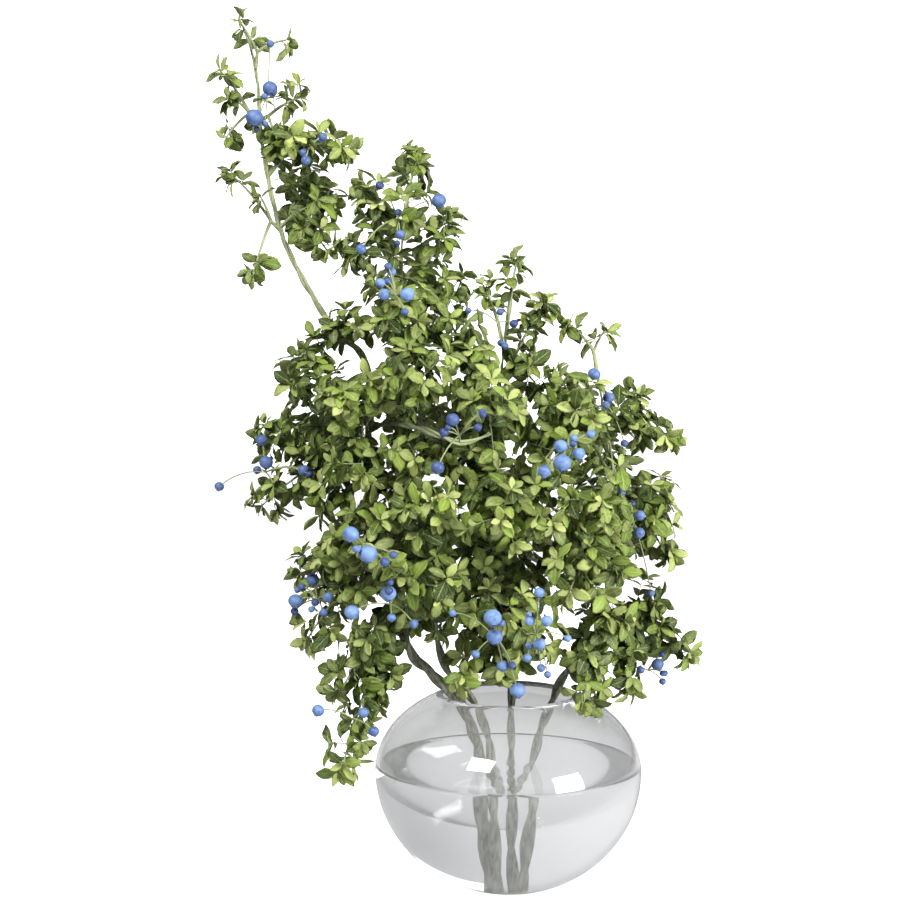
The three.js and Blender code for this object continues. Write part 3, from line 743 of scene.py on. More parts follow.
@dataclass
class BoughGrower:
    """Grows a bough's twigs and leaves by one rule."""

    plan: BoughPlan
    root: Vector
    seed: int
    fork_place: float = 0.3
    arch: float = 0.14
    trunk_radius: float = 2.2 * MM
    fork_radius: float = 1.6 * MM
    tip_radius: float = 0.8 * MM
    side_radius: float = 0.5 * MM
    side_spacing: float = 7.4 * MM
    trunk_spacing: float = 14.0 * MM
    trunk_reach: float = 24.0 * MM
    leaf_spacing: float = 5.0 * MM
    leaf_length: tuple[float, float] = (15 * MM, 26 * MM)
    slim_reach: float = 18.0
    slim_gap: float = 1.25
    slim_size: float = 0.92
    bare_foot: float = 0.1
    bare_reach: float = 12.0
    bare_share: float = 0.62
    side_pull_back: float = 4.0 * MM
    side_least: float = 3.0 * MM
    side_span: tuple[float, float] = (0.45, 1.05)
    side_arch: tuple[float, float] = (-0.04, 0.14)
    side_sweep: float = 0.5
    side_rise: float = 0.25
    single_lean: float = 62.0
    single_size: float = 0.9
    single_youth: float = 0.25
    rosette_lean: float = 78.0
    rosette_close: float = 44.0
    rosette_shrink: float = 0.35
    lean_spread: float = 12.0
    slenderness: tuple[float, float] = (0.25, 0.30)
    light_pull: float = 0.55
    droop: float = 0.18

    def __post_init__(self) -> None:
        """Starts the bough's own random draws."""
        self.draw = random.Random(self.seed)
        self.growth = Growth()
        self.slim = max(reach for *_, reach in self.plan.tips) <= self.slim_reach
        self.spread = max((to_metres(tip) - self.root).length for tip in self.plan.tips)

    def grow(self) -> Growth:
        """Grows the trunk, the forks, their side twigs and all leaves.

        Returns:
            The bough's twigs and leaves.
        """
        tips = [to_metres(tip) for tip in self.plan.tips]
        centre = sum(tips, Vector()) / len(tips)
        fork = self.root.lerp(centre, self.fork_place) + UP * (self.arch * (centre - self.root).length)
        trunk = arc(self.root, self.root.lerp(fork, 0.5), fork, 4)
        self.growth.twigs.append(Twig(trunk, self.trunk_radius, self.fork_radius))
        if not self.slim:
            self.side_twigs(trunk, self.trunk_reach, self.trunk_spacing, self.bare_foot)
        for tip, (*_, reach) in zip(tips, self.plan.tips):
            crest = fork.lerp(tip, 0.5) + UP * (self.arch * (tip - fork).length)
            line = arc(fork, crest, tip, 10)
            self.growth.twigs.append(Twig(line, self.fork_radius, self.tip_radius))
            bare = self.bare_share if reach < self.bare_reach else self.bare_foot
            self.side_twigs(line, reach * MM, self.side_spacing, bare)
            self.rosette(line[-1], (line[-1] - line[-2]).normalized(), 1.0)
        return self.growth

    def side_twigs(self, line: Sequence[Vector], reach: float, spacing: float, bare: float) -> None:
        """Grows side twigs along a line, turned by the golden angle from one to the next.

        Args:
            line: The line that they leave.
            reach: How far they reach.
            spacing: The gap from one to the next.
            bare: The share of the line, from its root, that has none.
        """
        length = sum((b - a).length for a, b in zip(line, line[1:]))
        if self.slim:
            spacing = spacing * self.slim_gap
        count = max(1, round(length * (1.1 - bare) / spacing))
        phase = self.draw.uniform(0, 2 * math.pi)
        for k in range(count):
            share = bare + (0.98 - bare) * (k + 0.5) / count
            step = min(int(share * (len(line) - 1)), len(line) - 2)
            start = line[step].lerp(line[step + 1], share * (len(line) - 1) - step)
            tangent = (line[step + 1] - line[step]).normalized()
            side = self.turned(tangent, phase + GOLDEN_ANGLE * k)
            heading = (side + tangent * self.side_sweep + UP * self.side_rise).normalized()
            span = max(self.side_least, reach * self.draw.uniform(*self.side_span) - self.side_pull_back)
            end = start + heading * span
            crest = start.lerp(end, 0.5) + UP * (span * self.draw.uniform(*self.side_arch))
            side_line = arc(start, crest, end, 5)
            self.growth.twigs.append(Twig(side_line, self.side_radius, self.side_radius * 0.6))
            self.single_leaves(side_line)
            self.rosette(end, (side_line[-1] - side_line[-2]).normalized(), self.draw.uniform(0.3, 1.0))

    def single_leaves(self, line: Sequence[Vector]) -> None:
        """Sets single leaves along a side twig."""
        length = (line[-1] - line[0]).length
        count = int(length / self.leaf_spacing)
        phase = self.draw.uniform(0, 2 * math.pi)
        for k in range(count):
            share = 0.2 + 0.65 * (k + 0.5) / count
            step = int(share * (len(line) - 1))
            place = line[step].lerp(line[step + 1], 0.5)
            tangent = (line[step + 1] - line[step]).normalized()
            turn = phase + GOLDEN_ANGLE * k
            self.leaf(place, tangent, turn, self.single_lean, self.single_size, self.single_youth)

    def rosette(self, place: Vector, tangent: Vector, youth: float) -> None:
        """Sets the rosette of leaves at a twig's end."""
        count = self.draw.randint(4, 5) if self.slim else self.draw.randint(5, 7)
        phase = self.draw.uniform(0, 2 * math.pi)
        for k in range(count):
            share = k / (count - 1)
            lean = self.rosette_lean - self.rosette_close * share
            size = 1.0 - self.rosette_shrink * share
            self.leaf(place, tangent, phase + GOLDEN_ANGLE * k, lean, size, youth * share)

    def leaf(
        self, place: Vector, tangent: Vector, turn: float, lean: float, size: float, youth: float
    ) -> None:
        """Sets one leaf.

        Args:
            place: Where it leaves the twig.
            tangent: The twig's direction there.
            turn: The angle round the twig, in radians.
            lean: The angle away from the twig, in degrees.
            size: Its size beside a full leaf.
            youth: 0 for an old dark leaf and 1 for a young bright one; the value stored on the leaf is also
                lowered towards the bough's root, as painted shade.
        """
        angle = math.radians(lean + self.draw.uniform(-self.lean_spread, self.lean_spread))
        side = self.turned(tangent, turn)
        along = (tangent * math.cos(angle) + side * math.sin(angle)).normalized()
        along = (along - UP * self.droop).normalized()
        outward = (place - self.root).normalized()
        light = (outward + UP).normalized()
        facing = tangent * math.sin(angle) - side * math.cos(angle)
        facing = facing.lerp(light, self.light_pull)
        facing = (facing - along * facing.dot(along)).normalized()
        scale = self.slim_size if self.slim else 1.0
        length = self.draw.uniform(*self.leaf_length) * size * scale
        outness = min(1.0, (place - self.root).length / self.spread)
        self.growth.leaves.append(Leaf(
            root=place,
            along=along,
            facing=facing,
            length=length,
            width=length * self.draw.uniform(*self.slenderness),
            curl=self.draw.uniform(0.15, 0.85),
            fold=self.draw.uniform(0.05, 0.40),
            # Painted shade: tone and youth shrink towards the bough's root, on top of a real random tone
            # and younger tips.
            tone=self.draw.random() * (0.35 + 0.65 * outness),
            youth=min(1.0, (youth + self.draw.uniform(0.0, 0.3)) * (0.4 + 0.6 * outness)),
        ))

    @staticmethod
    def turned(tangent: Vector, angle: float) -> Vector:
        """A direction square to the tangent, turned round it."""
        level = UP.cross(tangent)
        if level.length < 1e-4:
            level = Vector((1.0, 0.0, 0.0)).cross(tangent)
        return Quaternion(tangent, angle) @ level.normalized()


# ----------------------------------------------------------------------------- geometry trees


class SocketKind(Enum):
    """The kinds of socket that the geometry trees take."""

    GEOMETRY = "NodeSocketGeometry"
    OBJECT = "NodeSocketObject"
    MATERIAL = "NodeSocketMaterial"
    NUMBER = "NodeSocketFloat"
    COUNT = "NodeSocketInt"


class GeometryTree:
    """A geometry node tree with named inputs, applied to a mesh as a finished plain mesh."""

    name = "geometry"
    sockets: dict[str, SocketKind] = {}

    def __init__(self) -> None:
        """Builds the tree."""
        self.tree = bpy.data.node_groups.new(self.name, "GeometryNodeTree")
        self.wiring = Wiring(self.tree)
        self.identifiers: dict[str, str] = {}
        interface = self.tree.interface
        interface.new_socket(name="Geometry", in_out="INPUT", socket_type=SocketKind.GEOMETRY.value)
        for name, kind in self.sockets.items():
            made = interface.new_socket(name=name, in_out="INPUT", socket_type=kind.value)
            self.identifiers[name] = made.identifier
        interface.new_socket(name="Geometry", in_out="OUTPUT", socket_type=SocketKind.GEOMETRY.value)
        self.entry = self.tree.nodes.new("NodeGroupInput")
        result = self.build(self.input("Geometry"))
        leave = self.tree.nodes.new("NodeGroupOutput")
        self.wiring.feed(leave.inputs["Geometry"], result)

    def input(self, name: str) -> Link:
        """One of the tree's inputs."""
        return Link(self.wiring, self.entry.outputs[name])

    def build(self, geometry: Link) -> Link:
        """Wires the tree from its geometry input and returns its geometry output."""
        raise NotImplementedError

    def finished(self, geometry: Link) -> Link:
        """Ends a tree: realised, smooth and with the material set."""
        real = self.wiring.node("GeometryNodeRealizeInstances", inputs={"Geometry": geometry})
        smooth = self.wiring.node("GeometryNodeSetShadeSmooth", inputs={"Geometry": real})
        return self.wiring.node(
            "GeometryNodeSetMaterial", inputs={"Geometry": smooth, "Material": self.input("Material")}
        )

    def named(self, name: str, kind: str = "FLOAT") -> Link:
        """A named attribute."""
        return self.wiring.node("GeometryNodeInputNamedAttribute", {"data_type": kind}, {"Name": name})

    def apply(self, name: str, source: bpy.types.Mesh, values: dict[str, Any]) -> bpy.types.Object:
        """Runs the tree on a mesh.

        Args:
            name: The finished piece's name.
            source: The mesh that the tree starts from.
            values: The tree's inputs, by name.

        Returns:
            A new object with a plain mesh and no modifier.
        """
        carrier = bpy.data.objects.new(name + "_source", source)
        bpy.context.scene.collection.objects.link(carrier)
        modifier = carrier.modifiers.new(self.name, "NODES")
        modifier.node_group = self.tree
        for key, value in values.items():
            modifier[self.identifiers[key]] = value
        depsgraph = bpy.context.evaluated_depsgraph_get()
        depsgraph.update()
        mesh = bpy.data.meshes.new_from_object(
            carrier.evaluated_get(depsgraph), preserve_all_data_layers=True, depsgraph=depsgraph
        )
        mesh.name = name
        bpy.data.objects.remove(carrier)
        bpy.data.meshes.remove(source)
        piece = bpy.data.objects.new(name, mesh)
        bpy.context.scene.collection.objects.link(piece)
        return piece


class LeafTree(GeometryTree):
    """Sets a bent, folded leaf blade at each point of a mesh."""

    name = "leaf_blades"
    sockets = {
        "Blade": SocketKind.OBJECT,
        "Thickness": SocketKind.NUMBER,
        "Ripple": SocketKind.NUMBER,
        "Material": SocketKind.MATERIAL,
    }

    def build(self, geometry: Link) -> Link:
        """Wires the leaves: copies of the blade, each bent by its own point's values."""
        w = self.wiring
        blade = w.node("GeometryNodeObjectInfo", inputs={"Object": self.input("Blade")}, output="Geometry")
        copies = w.node("GeometryNodeInstanceOnPoints", inputs={"Points": geometry, "Instance": blade})
        real = w.node("GeometryNodeRealizeInstances", inputs={"Geometry": copies})
        place = self.named("blade", "FLOAT_VECTOR")
        u, v, side = (w.part(place, axis) for axis in "XYZ")
        along = self.named("along", "FLOAT_VECTOR")
        facing = self.named("facing", "FLOAT_VECTOR")
        across = w.cross(along, facing)
        curl = self.named("curl")
        fold = self.named("fold")
        length = self.named("length")
        half = self.named("width") * self.named("span")
        bend = curl * u
        normal = facing * w.cosine(bend) + along * w.sine(bend)
        forward = along * (length * w.sine(bend) / curl)
        drop = facing * (length * (1.0 - w.cosine(bend)) / curl)
        spread = across * (v * half * w.cosine(fold)) + normal * (w.size(v) * half * w.sine(fold))
        wave = w.sine(u * 10.0 + self.named("tone") * 20.0) * v * v * half * self.input("Ripple")
        lift = normal * (wave + side * self.input("Thickness"))
        position = self.named("root", "FLOAT_VECTOR") + forward - drop + spread + lift
        moved = w.node("GeometryNodeSetPosition", inputs={"Geometry": real, "Position": position})
        return self.finished(moved)


class TwigTree(GeometryTree):
    """Skins thin lines of a mesh with round bark."""

    name = "twig_skin"
    sockets = {"Sides": SocketKind.COUNT, "Material": SocketKind.MATERIAL}

    def build(self, geometry: Link) -> Link:
        """Wires the twigs: curves from the mesh's edges, swept with a round profile."""
        w = self.wiring
        curve = w.node("GeometryNodeMeshToCurve", inputs={"Mesh": geometry})
        profile = w.node(
            "GeometryNodeCurvePrimitiveCircle",
            {"mode": "RADIUS"},
            {"Resolution": self.input("Sides"), "Radius": 1.0},
        )
        thickness = self.named("thickness")
        sweep = {"Curve": curve, "Profile Curve": profile, "Fill Caps": True, "Scale": thickness}
        return self.finished(w.node("GeometryNodeCurveToMesh", inputs=sweep))


class StemTree(GeometryTree):
    """Twists woody strands round a stem's route."""

    name = "twisted_stem"
    sockets = {
        "Turns": SocketKind.NUMBER,
        "Knots": SocketKind.NUMBER,
        "Seed": SocketKind.NUMBER,
        "Material": SocketKind.MATERIAL,
    }
    sides = 14

    def __init__(self, strands: int) -> None:
        """Builds the tree for a number of strands."""
        self.strands = strands
        super().__init__()

    def build(self, geometry: Link) -> Link:
        """Wires the strands: each is the route moved off its centre by a turning angle."""
        w = self.wiring
        curve = w.node("GeometryNodeMeshToCurve", inputs={"Mesh": geometry})
        tangent = w.node("GeometryNodeInputTangent")
        normal = w.node("GeometryNodeInputNormal")
        binormal = w.cross(tangent, normal)
        share = w.node("GeometryNodeSplineParameter", output="Factor")
        thickness = self.named("thickness")
        parts = []
        for strand in range(self.strands):
            wander = w.sine(share * 23.0 + self.input("Seed") + strand * 2.1) * 0.5
            first = 2 * math.pi * strand / self.strands
            angle = share * self.input("Turns") * (2 * math.pi) + first + wander
            offset = (normal * w.cosine(angle) + binormal * w.sine(angle)) * (thickness * 0.50)
            moved = w.node("GeometryNodeSetPosition", inputs={"Geometry": curve, "Offset": offset})
            circle = {"Resolution": self.sides, "Radius": 1.0}
            profile = w.node("GeometryNodeCurvePrimitiveCircle", {"mode": "RADIUS"}, circle)
            sweep = {"Curve": moved, "Profile Curve": profile, "Fill Caps": True, "Scale": thickness * 0.53}
            parts.append(w.node("GeometryNodeCurveToMesh", inputs=sweep))
        joined = self.tree.nodes.new("GeometryNodeJoinGeometry")
        for part in parts:
            self.tree.links.new(part.socket, joined.inputs[0])
        place = w.node("GeometryNodeInputPosition")
        stretched = place * (1.0, 1.0, 0.4)
        bark = w.noise(stretched, 210.0, 3.0) - 0.5
        knot = w.noise(place, 38.0, 1.0) - 0.5
        skin = w.node("GeometryNodeInputNormal")
        lift = skin * ((bark * 0.5 + knot) * self.input("Knots"))
        strands = Link(w, joined.outputs[0])
        rough = w.node("GeometryNodeSetPosition", inputs={"Geometry": strands, "Offset": lift})
        return self.finished(rough)


class BerryTree(GeometryTree):
    """Sets a crowned berry at each point of a mesh."""

    name = "berries"
    sockets = {"Berry": SocketKind.OBJECT, "Lumps": SocketKind.NUMBER, "Material": SocketKind.MATERIAL}

    def build(self, geometry: Link) -> Link:
        """Wires the berries: copies turned along each point's axis and scaled to its radius."""
        w = self.wiring
        berry = w.node("GeometryNodeObjectInfo", inputs={"Object": self.input("Berry")}, output="Geometry")
        turn = w.node(
            "FunctionNodeAlignRotationToVector",
            {"axis": "Z"},
            {"Vector": self.named("axis", "FLOAT_VECTOR")},
        )
        size = self.named("radius_mm") * MM
        copies = w.node(
            "GeometryNodeInstanceOnPoints",
            inputs={"Points": geometry, "Instance": berry, "Rotation": turn, "Scale": size},
        )
        real = w.node("GeometryNodeRealizeInstances", inputs={"Geometry": copies})
        place = w.node("GeometryNodeInputPosition")
        skin = w.node("GeometryNodeInputNormal")
        lump = (w.noise(place, 90.0, 1.0) - 0.5) * self.input("Lumps")
        moved = w.node("GeometryNodeSetPosition", inputs={"Geometry": real, "Offset": skin * lump})
        return self.finished(moved)


# ----------------------------------------------------------------------------- meshes


def mesh_of(
    name: str,
    points: Sequence[Sequence[float]],
    edges: Sequence[Sequence[int]] = (),
    faces: Sequence[Sequence[int]] = (),
    attributes: dict[str, Sequence[Any]] | None = None,
) -> bpy.types.Mesh:
    """A mesh with named values on its points.

    Args:
        name: The mesh's name.
        points: Its vertices.
        edges: Pairs of vertex indices.
        faces: Loops of vertex indices.
        attributes: Numbers or triples for each vertex, by name.

    Returns:
        The new mesh.
    """
    mesh = bpy.data.meshes.new(name)
    mesh.from_pydata([tuple(p) for p in points], list(edges), list(faces))
    for key, values in (attributes or {}).items():
        is_number = isinstance(values[0], (int, float))
        layer = mesh.attributes.new(key, "FLOAT" if is_number else "FLOAT_VECTOR", "POINT")
        flat = list(values) if is_number else [part for value in values for part in value]
        layer.data.foreach_set("value" if is_number else "vector", flat)
    mesh.update()
    return mesh


def lathe(
    profile: Sequence[tuple[float, float]],
    segments: int,
    shape: Callable[[int, float, float, float], tuple[float, float]] | None = None,
) -> tuple[list[Vector], list[tuple[int, ...]]]:
    """Turns a closed outline from axis to axis, with its faces outward.

    Args:
        profile: Radius and height from the lowest axis point round to the last axis point.
        segments: Steps round the axis.
        shape: Changes a ring's radius and height, given the ring, the angle, radius and height.

    Returns:
        The vertices and the faces.
    """
    low, *rings, high = profile
    points = [Vector((0.0, 0.0, low[1]))]
    for ring, (radius, height) in enumerate(rings):
        for k in range(segments):
            angle = 2 * math.pi * k / segments
            r, z = shape(ring, angle, radius, height) if shape else (radius, height)
            points.append(Vector((r * math.cos(angle), r * math.sin(angle), z)))
    points.append(Vector((0.0, 0.0, high[1])))
    last = len(points) - 1
    faces: list[tuple[int, ...]] = []
    for k in range(segments):
        following = (k + 1) % segments
        faces.append((0, 1 + following, 1 + k))
        for ring in range(len(rings) - 1):
            base = 1 + ring * segments
            faces.append((base + k, base + following, base + segments + following, base + segments + k))
        base = 1 + (len(rings) - 1) * segments
        faces.append((base + k, base + following, last))
    return points, faces


def place_piece(piece: bpy.types.Object, slot: str, *nodes: str) -> bpy.types.Object:
    """Attaches a piece to the frame's body and hides the CAD nodes that it stands for."""
    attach(piece, BODY)
    if nodes:
        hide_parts(*nodes)
    LOG.info("%s: %d faces", piece.name, len(piece.data.polygons))
    return piece


def piece_from(name: str, mesh: bpy.types.Mesh, material: bpy.types.Material) -> bpy.types.Object:
    """A smooth object from a mesh and a material."""
    mesh.materials.append(material)
    mesh.shade_smooth()
    piece = bpy.data.objects.new(name, mesh)
    bpy.context.scene.collection.objects.link(piece)
    return piece


# ----------------------------------------------------------------------------- sub-assemblies


@dataclass
class Vase:
    """The blown glass bowl and the water in it."""

    radius: float = 120 * MM
    widest_at: float = 100 * MM
    dome: float = 78 * MM
    keel: float = 108 * MM
    mouth_at: float = 167.4 * MM
    wall: float = 4 * MM
    floor: float = 8 * MM
    keel_extra: float = 1 * MM
    rim: float = 1.4 * MM
    water_level: float = 105 * MM
    water_overlap: float = 0.15 * MM
    meniscus: float = 1.6 * MM
    segments: int = 144

    def curve(self, radius: float, dome: float, keel: float, start: float, end: float, steps: int) -> list:
        """Points of the bowl's curve between two angles."""
        angles = (start + (end - start) * k / steps for k in range(steps + 1))
        return [
            (radius * math.cos(a), self.widest_at + math.sin(a) * (dome if a > 0 else keel)) for a in angles
        ]

    def outline(self) -> list[tuple[float, float]]:
        """The glass's outline from the middle of its underside to the middle of its floor."""
        foot = math.asin(-self.widest_at / self.keel)
        mouth = math.asin((self.mouth_at - self.widest_at) / self.dome)
        outer = self.curve(self.radius, self.dome, self.keel, foot, mouth, 44)
        inner_radius = self.radius - self.wall
        inner_dome = self.dome - self.wall
        inner_keel = self.keel - self.wall - self.keel_extra
        inner_mouth = math.acos((outer[-1][0] - self.rim * 0.7) / inner_radius)
        inner_foot = math.asin((self.floor - self.widest_at) / inner_keel)
        inner = self.curve(inner_radius, inner_dome, inner_keel, inner_mouth, inner_foot, 44)
        lip = ((outer[-1][0] + inner[0][0]) / 2, (outer[-1][1] + inner[0][1]) / 2)
        start = math.radians(70)
        rim = [
            (lip[0] + self.rim * math.cos(start + turn), lip[1] + self.rim * math.sin(start + turn))
            for turn in (math.radians(18 * k) for k in range(1, 10))
        ]
        foot_edge = outer[0][0]
        base = [(0.0, 0.0), (foot_edge * 0.5, 0.0), (foot_edge - 1.2 * MM, 0.0), (foot_edge, 0.5 * MM)]
        floor_edge = inner[-1][0]
        bottom = [(floor_edge - 3 * MM, self.floor), (floor_edge * 0.5, self.floor), (0.0, self.floor)]
        return base + outer[1:] + rim + inner[:-1] + [(floor_edge, self.floor + 0.4 * MM)] + bottom

    def water_outline(self) -> list[tuple[float, float]]:
        """The water's outline, with a meniscus where it climbs the glass."""
        radius = self.radius - self.wall + self.water_overlap
        keel = self.keel - self.wall - self.keel_extra + self.water_overlap
        dome = self.dome - self.wall + self.water_overlap
        top = math.asin((self.water_level + self.meniscus - self.widest_at) / dome)
        foot = math.asin((self.floor - self.widest_at) / keel)
        side = self.curve(radius, dome, keel, foot, top, 30)
        edge = side[-1][0]
        surface = [
            (edge - back, self.water_level + self.meniscus * math.exp(-back / self.meniscus))
            for back in (0.5 * MM, 1.2 * MM, 2.4 * MM, 4.5 * MM, 8 * MM)
        ]
        low = [(0.0, self.floor - self.water_overlap)]
        return low + side + surface + [(edge * 0.5, self.water_level), (0.0, self.water_level)]

    def build(self) -> None:
        """Builds the vase and the water."""
        parts = (
            ("vase_glass", self.outline(), GlassFinish(), "glass", "vase"),
            ("vase_water", self.water_outline(), WaterFinish(), "water", "water"),
        )
        for name, outline, finish, slot, node in parts:
            points, faces = lathe(outline, self.segments)
            piece = piece_from(name, mesh_of(name, points, faces=faces), finish.material())
            place_piece(piece, slot, node)

    def holds(self, point: Vector, margin: float) -> bool:
        """True if a point is inside the bowl's outer surface, or nearer to it than the margin."""
        if point.z > self.mouth_at + margin:
            return False
        depth = (self.dome if point.z > self.widest_at else self.keel) + margin
        height = (point.z - self.widest_at) / depth
        return math.hypot(point.x, point.y) < (self.radius + margin) * math.sqrt(max(0.0, 1 - height**2))


@dataclass
class Stems:
    """The woody stems, each a few strands twisted together."""

    bark: bpy.types.Material
    turns_each: float = 65 * MM
    samples: int = 12

    def __post_init__(self) -> None:
        """Lays out each stem's route."""
        self.routes = {plan.name: Route([to_metres(p) for p in plan.route], self.samples) for plan in STEMS}

    def build(self) -> None:
        """Builds one piece for each stem."""
        trees = {count: StemTree(count) for count in sorted({plan.strands for plan in STEMS})}
        for number, plan in enumerate(STEMS):
            points = self.routes[plan.name].points
            count = len(points)
            radii = [(plan.foot + (plan.tip - plan.foot) * k / (count - 1)) * MM for k in range(count)]
            length = sum((b - a).length for a, b in zip(points, points[1:]))
            edges = [(k, k + 1) for k in range(count - 1)]
            source = mesh_of(plan.name, points, edges, attributes={"thickness": radii})
            values = {
                "Turns": length / self.turns_each,
                "Knots": 0.7 * MM,
                "Seed": 1.7 * number,
                "Material": self.bark,
            }
            piece = trees[plan.strands].apply(f"{plan.name}_stem_wood", source, values)
            place_piece(piece, "bark", f"{plan.name}_stem")


@dataclass
class BladeTemplate:
    """The flat closed leaf blade that every leaf is bent from."""

    rows: tuple[float, ...] = (0.0, 0.07, 0.19, 0.36, 0.55, 0.74, 0.89)
    spans: tuple[float, ...] = (0.06, 0.09, 0.50, 0.86, 1.00, 0.82, 0.44)
    columns: tuple[float, ...] = (-1.0, -0.55, 0.0, 0.55, 1.0)

    def build(self) -> bpy.types.Object:
        """Builds the blade: an upper and a lower face that share their rim.

        Returns:
            The template object.
        """
        places: list[tuple[float, float, float]] = []
        spans: list[float] = []
        index: dict[tuple[int, int, int], int] = {}

        def vertex(side: int, row: int, column: int) -> int:
            """The vertex of one side, made when first asked for; rim vertices are shared."""
            on_rim = row in (0, len(self.rows)) or column in (0, len(self.columns) - 1)
            if row == len(self.rows):
                column = 0
            key = (0 if on_rim else side, row, column)
            if key not in index:
                index[key] = len(places)
                at_tip = row == len(self.rows)
                across = 0.0 if at_tip else self.columns[column]
                places.append((1.0 if at_tip else self.rows[row], across, float(key[0])))
                spans.append(0.0 if at_tip else self.spans[row])
            return index[key]

        faces = []
        for side in (1, -1):
            for row in range(len(self.rows)):
                for column in range(len(self.columns) - 1):
                    corners = [(row, column), (row, column + 1), (row + 1, column + 1), (row + 1, column)]
                    loop = [vertex(side, *corner) for corner in corners]
                    loop = list(dict.fromkeys(loop))
                    faces.append(loop if side < 0 else loop[::-1])
        mesh = mesh_of(
            "blade_template",
            [(v * s * 0.2, u, 0.01 * side) for (u, v, side), s in zip(places, spans)],
            faces=faces,
            attributes={"blade": places, "span": spans},
        )
        template = bpy.data.objects.new("blade_template", mesh)
        bpy.context.scene.collection.objects.link(template)
        return template


@dataclass
class BerryTemplate:
    """A berry of radius 1 with its crown at +Z."""

    segments: int = 30
    lobes: int = 5

    def build(self) -> bpy.types.Object:
        """Builds the berry: a flattened ball, a five-lobed crown and a sunken disc inside it.

        Returns:
            The template object.
        """
        body = []
        for step in range(1, 11):
            angle = math.radians(-90 + 158 * step / 10)
            body.append((math.cos(angle), 0.9 * math.sin(angle)))
        profile = [(0.0, -0.86), (0.10, -0.885)] + body
        crown_start = len(profile) - 1
        profile += [(0.30, 0.90), (0.34, 0.97), (0.27, 0.90), (0.22, 0.83), (0.10, 0.83), (0.0, 0.84)]

        def crown(ring: int, angle: float, radius: float, height: float) -> tuple[float, float]:
            """Draws the crown's rim out into lobes."""
            if ring != crown_start + 1:
                return radius, height
            lobe = abs(math.cos(self.lobes * angle / 2))
            return radius * (0.82 + 0.34 * lobe), height - 0.09 + 0.14 * lobe

        points, faces = lathe(profile, self.segments, crown)
        first_dusky = 1 + crown_start * self.segments
        dusk = [1.0 if i >= first_dusky else 0.0 for i in range(len(points))]
        mesh = mesh_of("berry_template", points, faces=faces, attributes={"dusk": dusk})
        template = bpy.data.objects.new("berry_template", mesh)
        bpy.context.scene.collection.objects.link(template)
        return template


@dataclass
class Berry:
    """One berry: its middle, radius, the way its crown looks and how ripe it is, with painted shade for
    hanging further back added to the ripeness.
    """

    centre: Vector
    radius: float
    axis: Vector
    ripeness: float


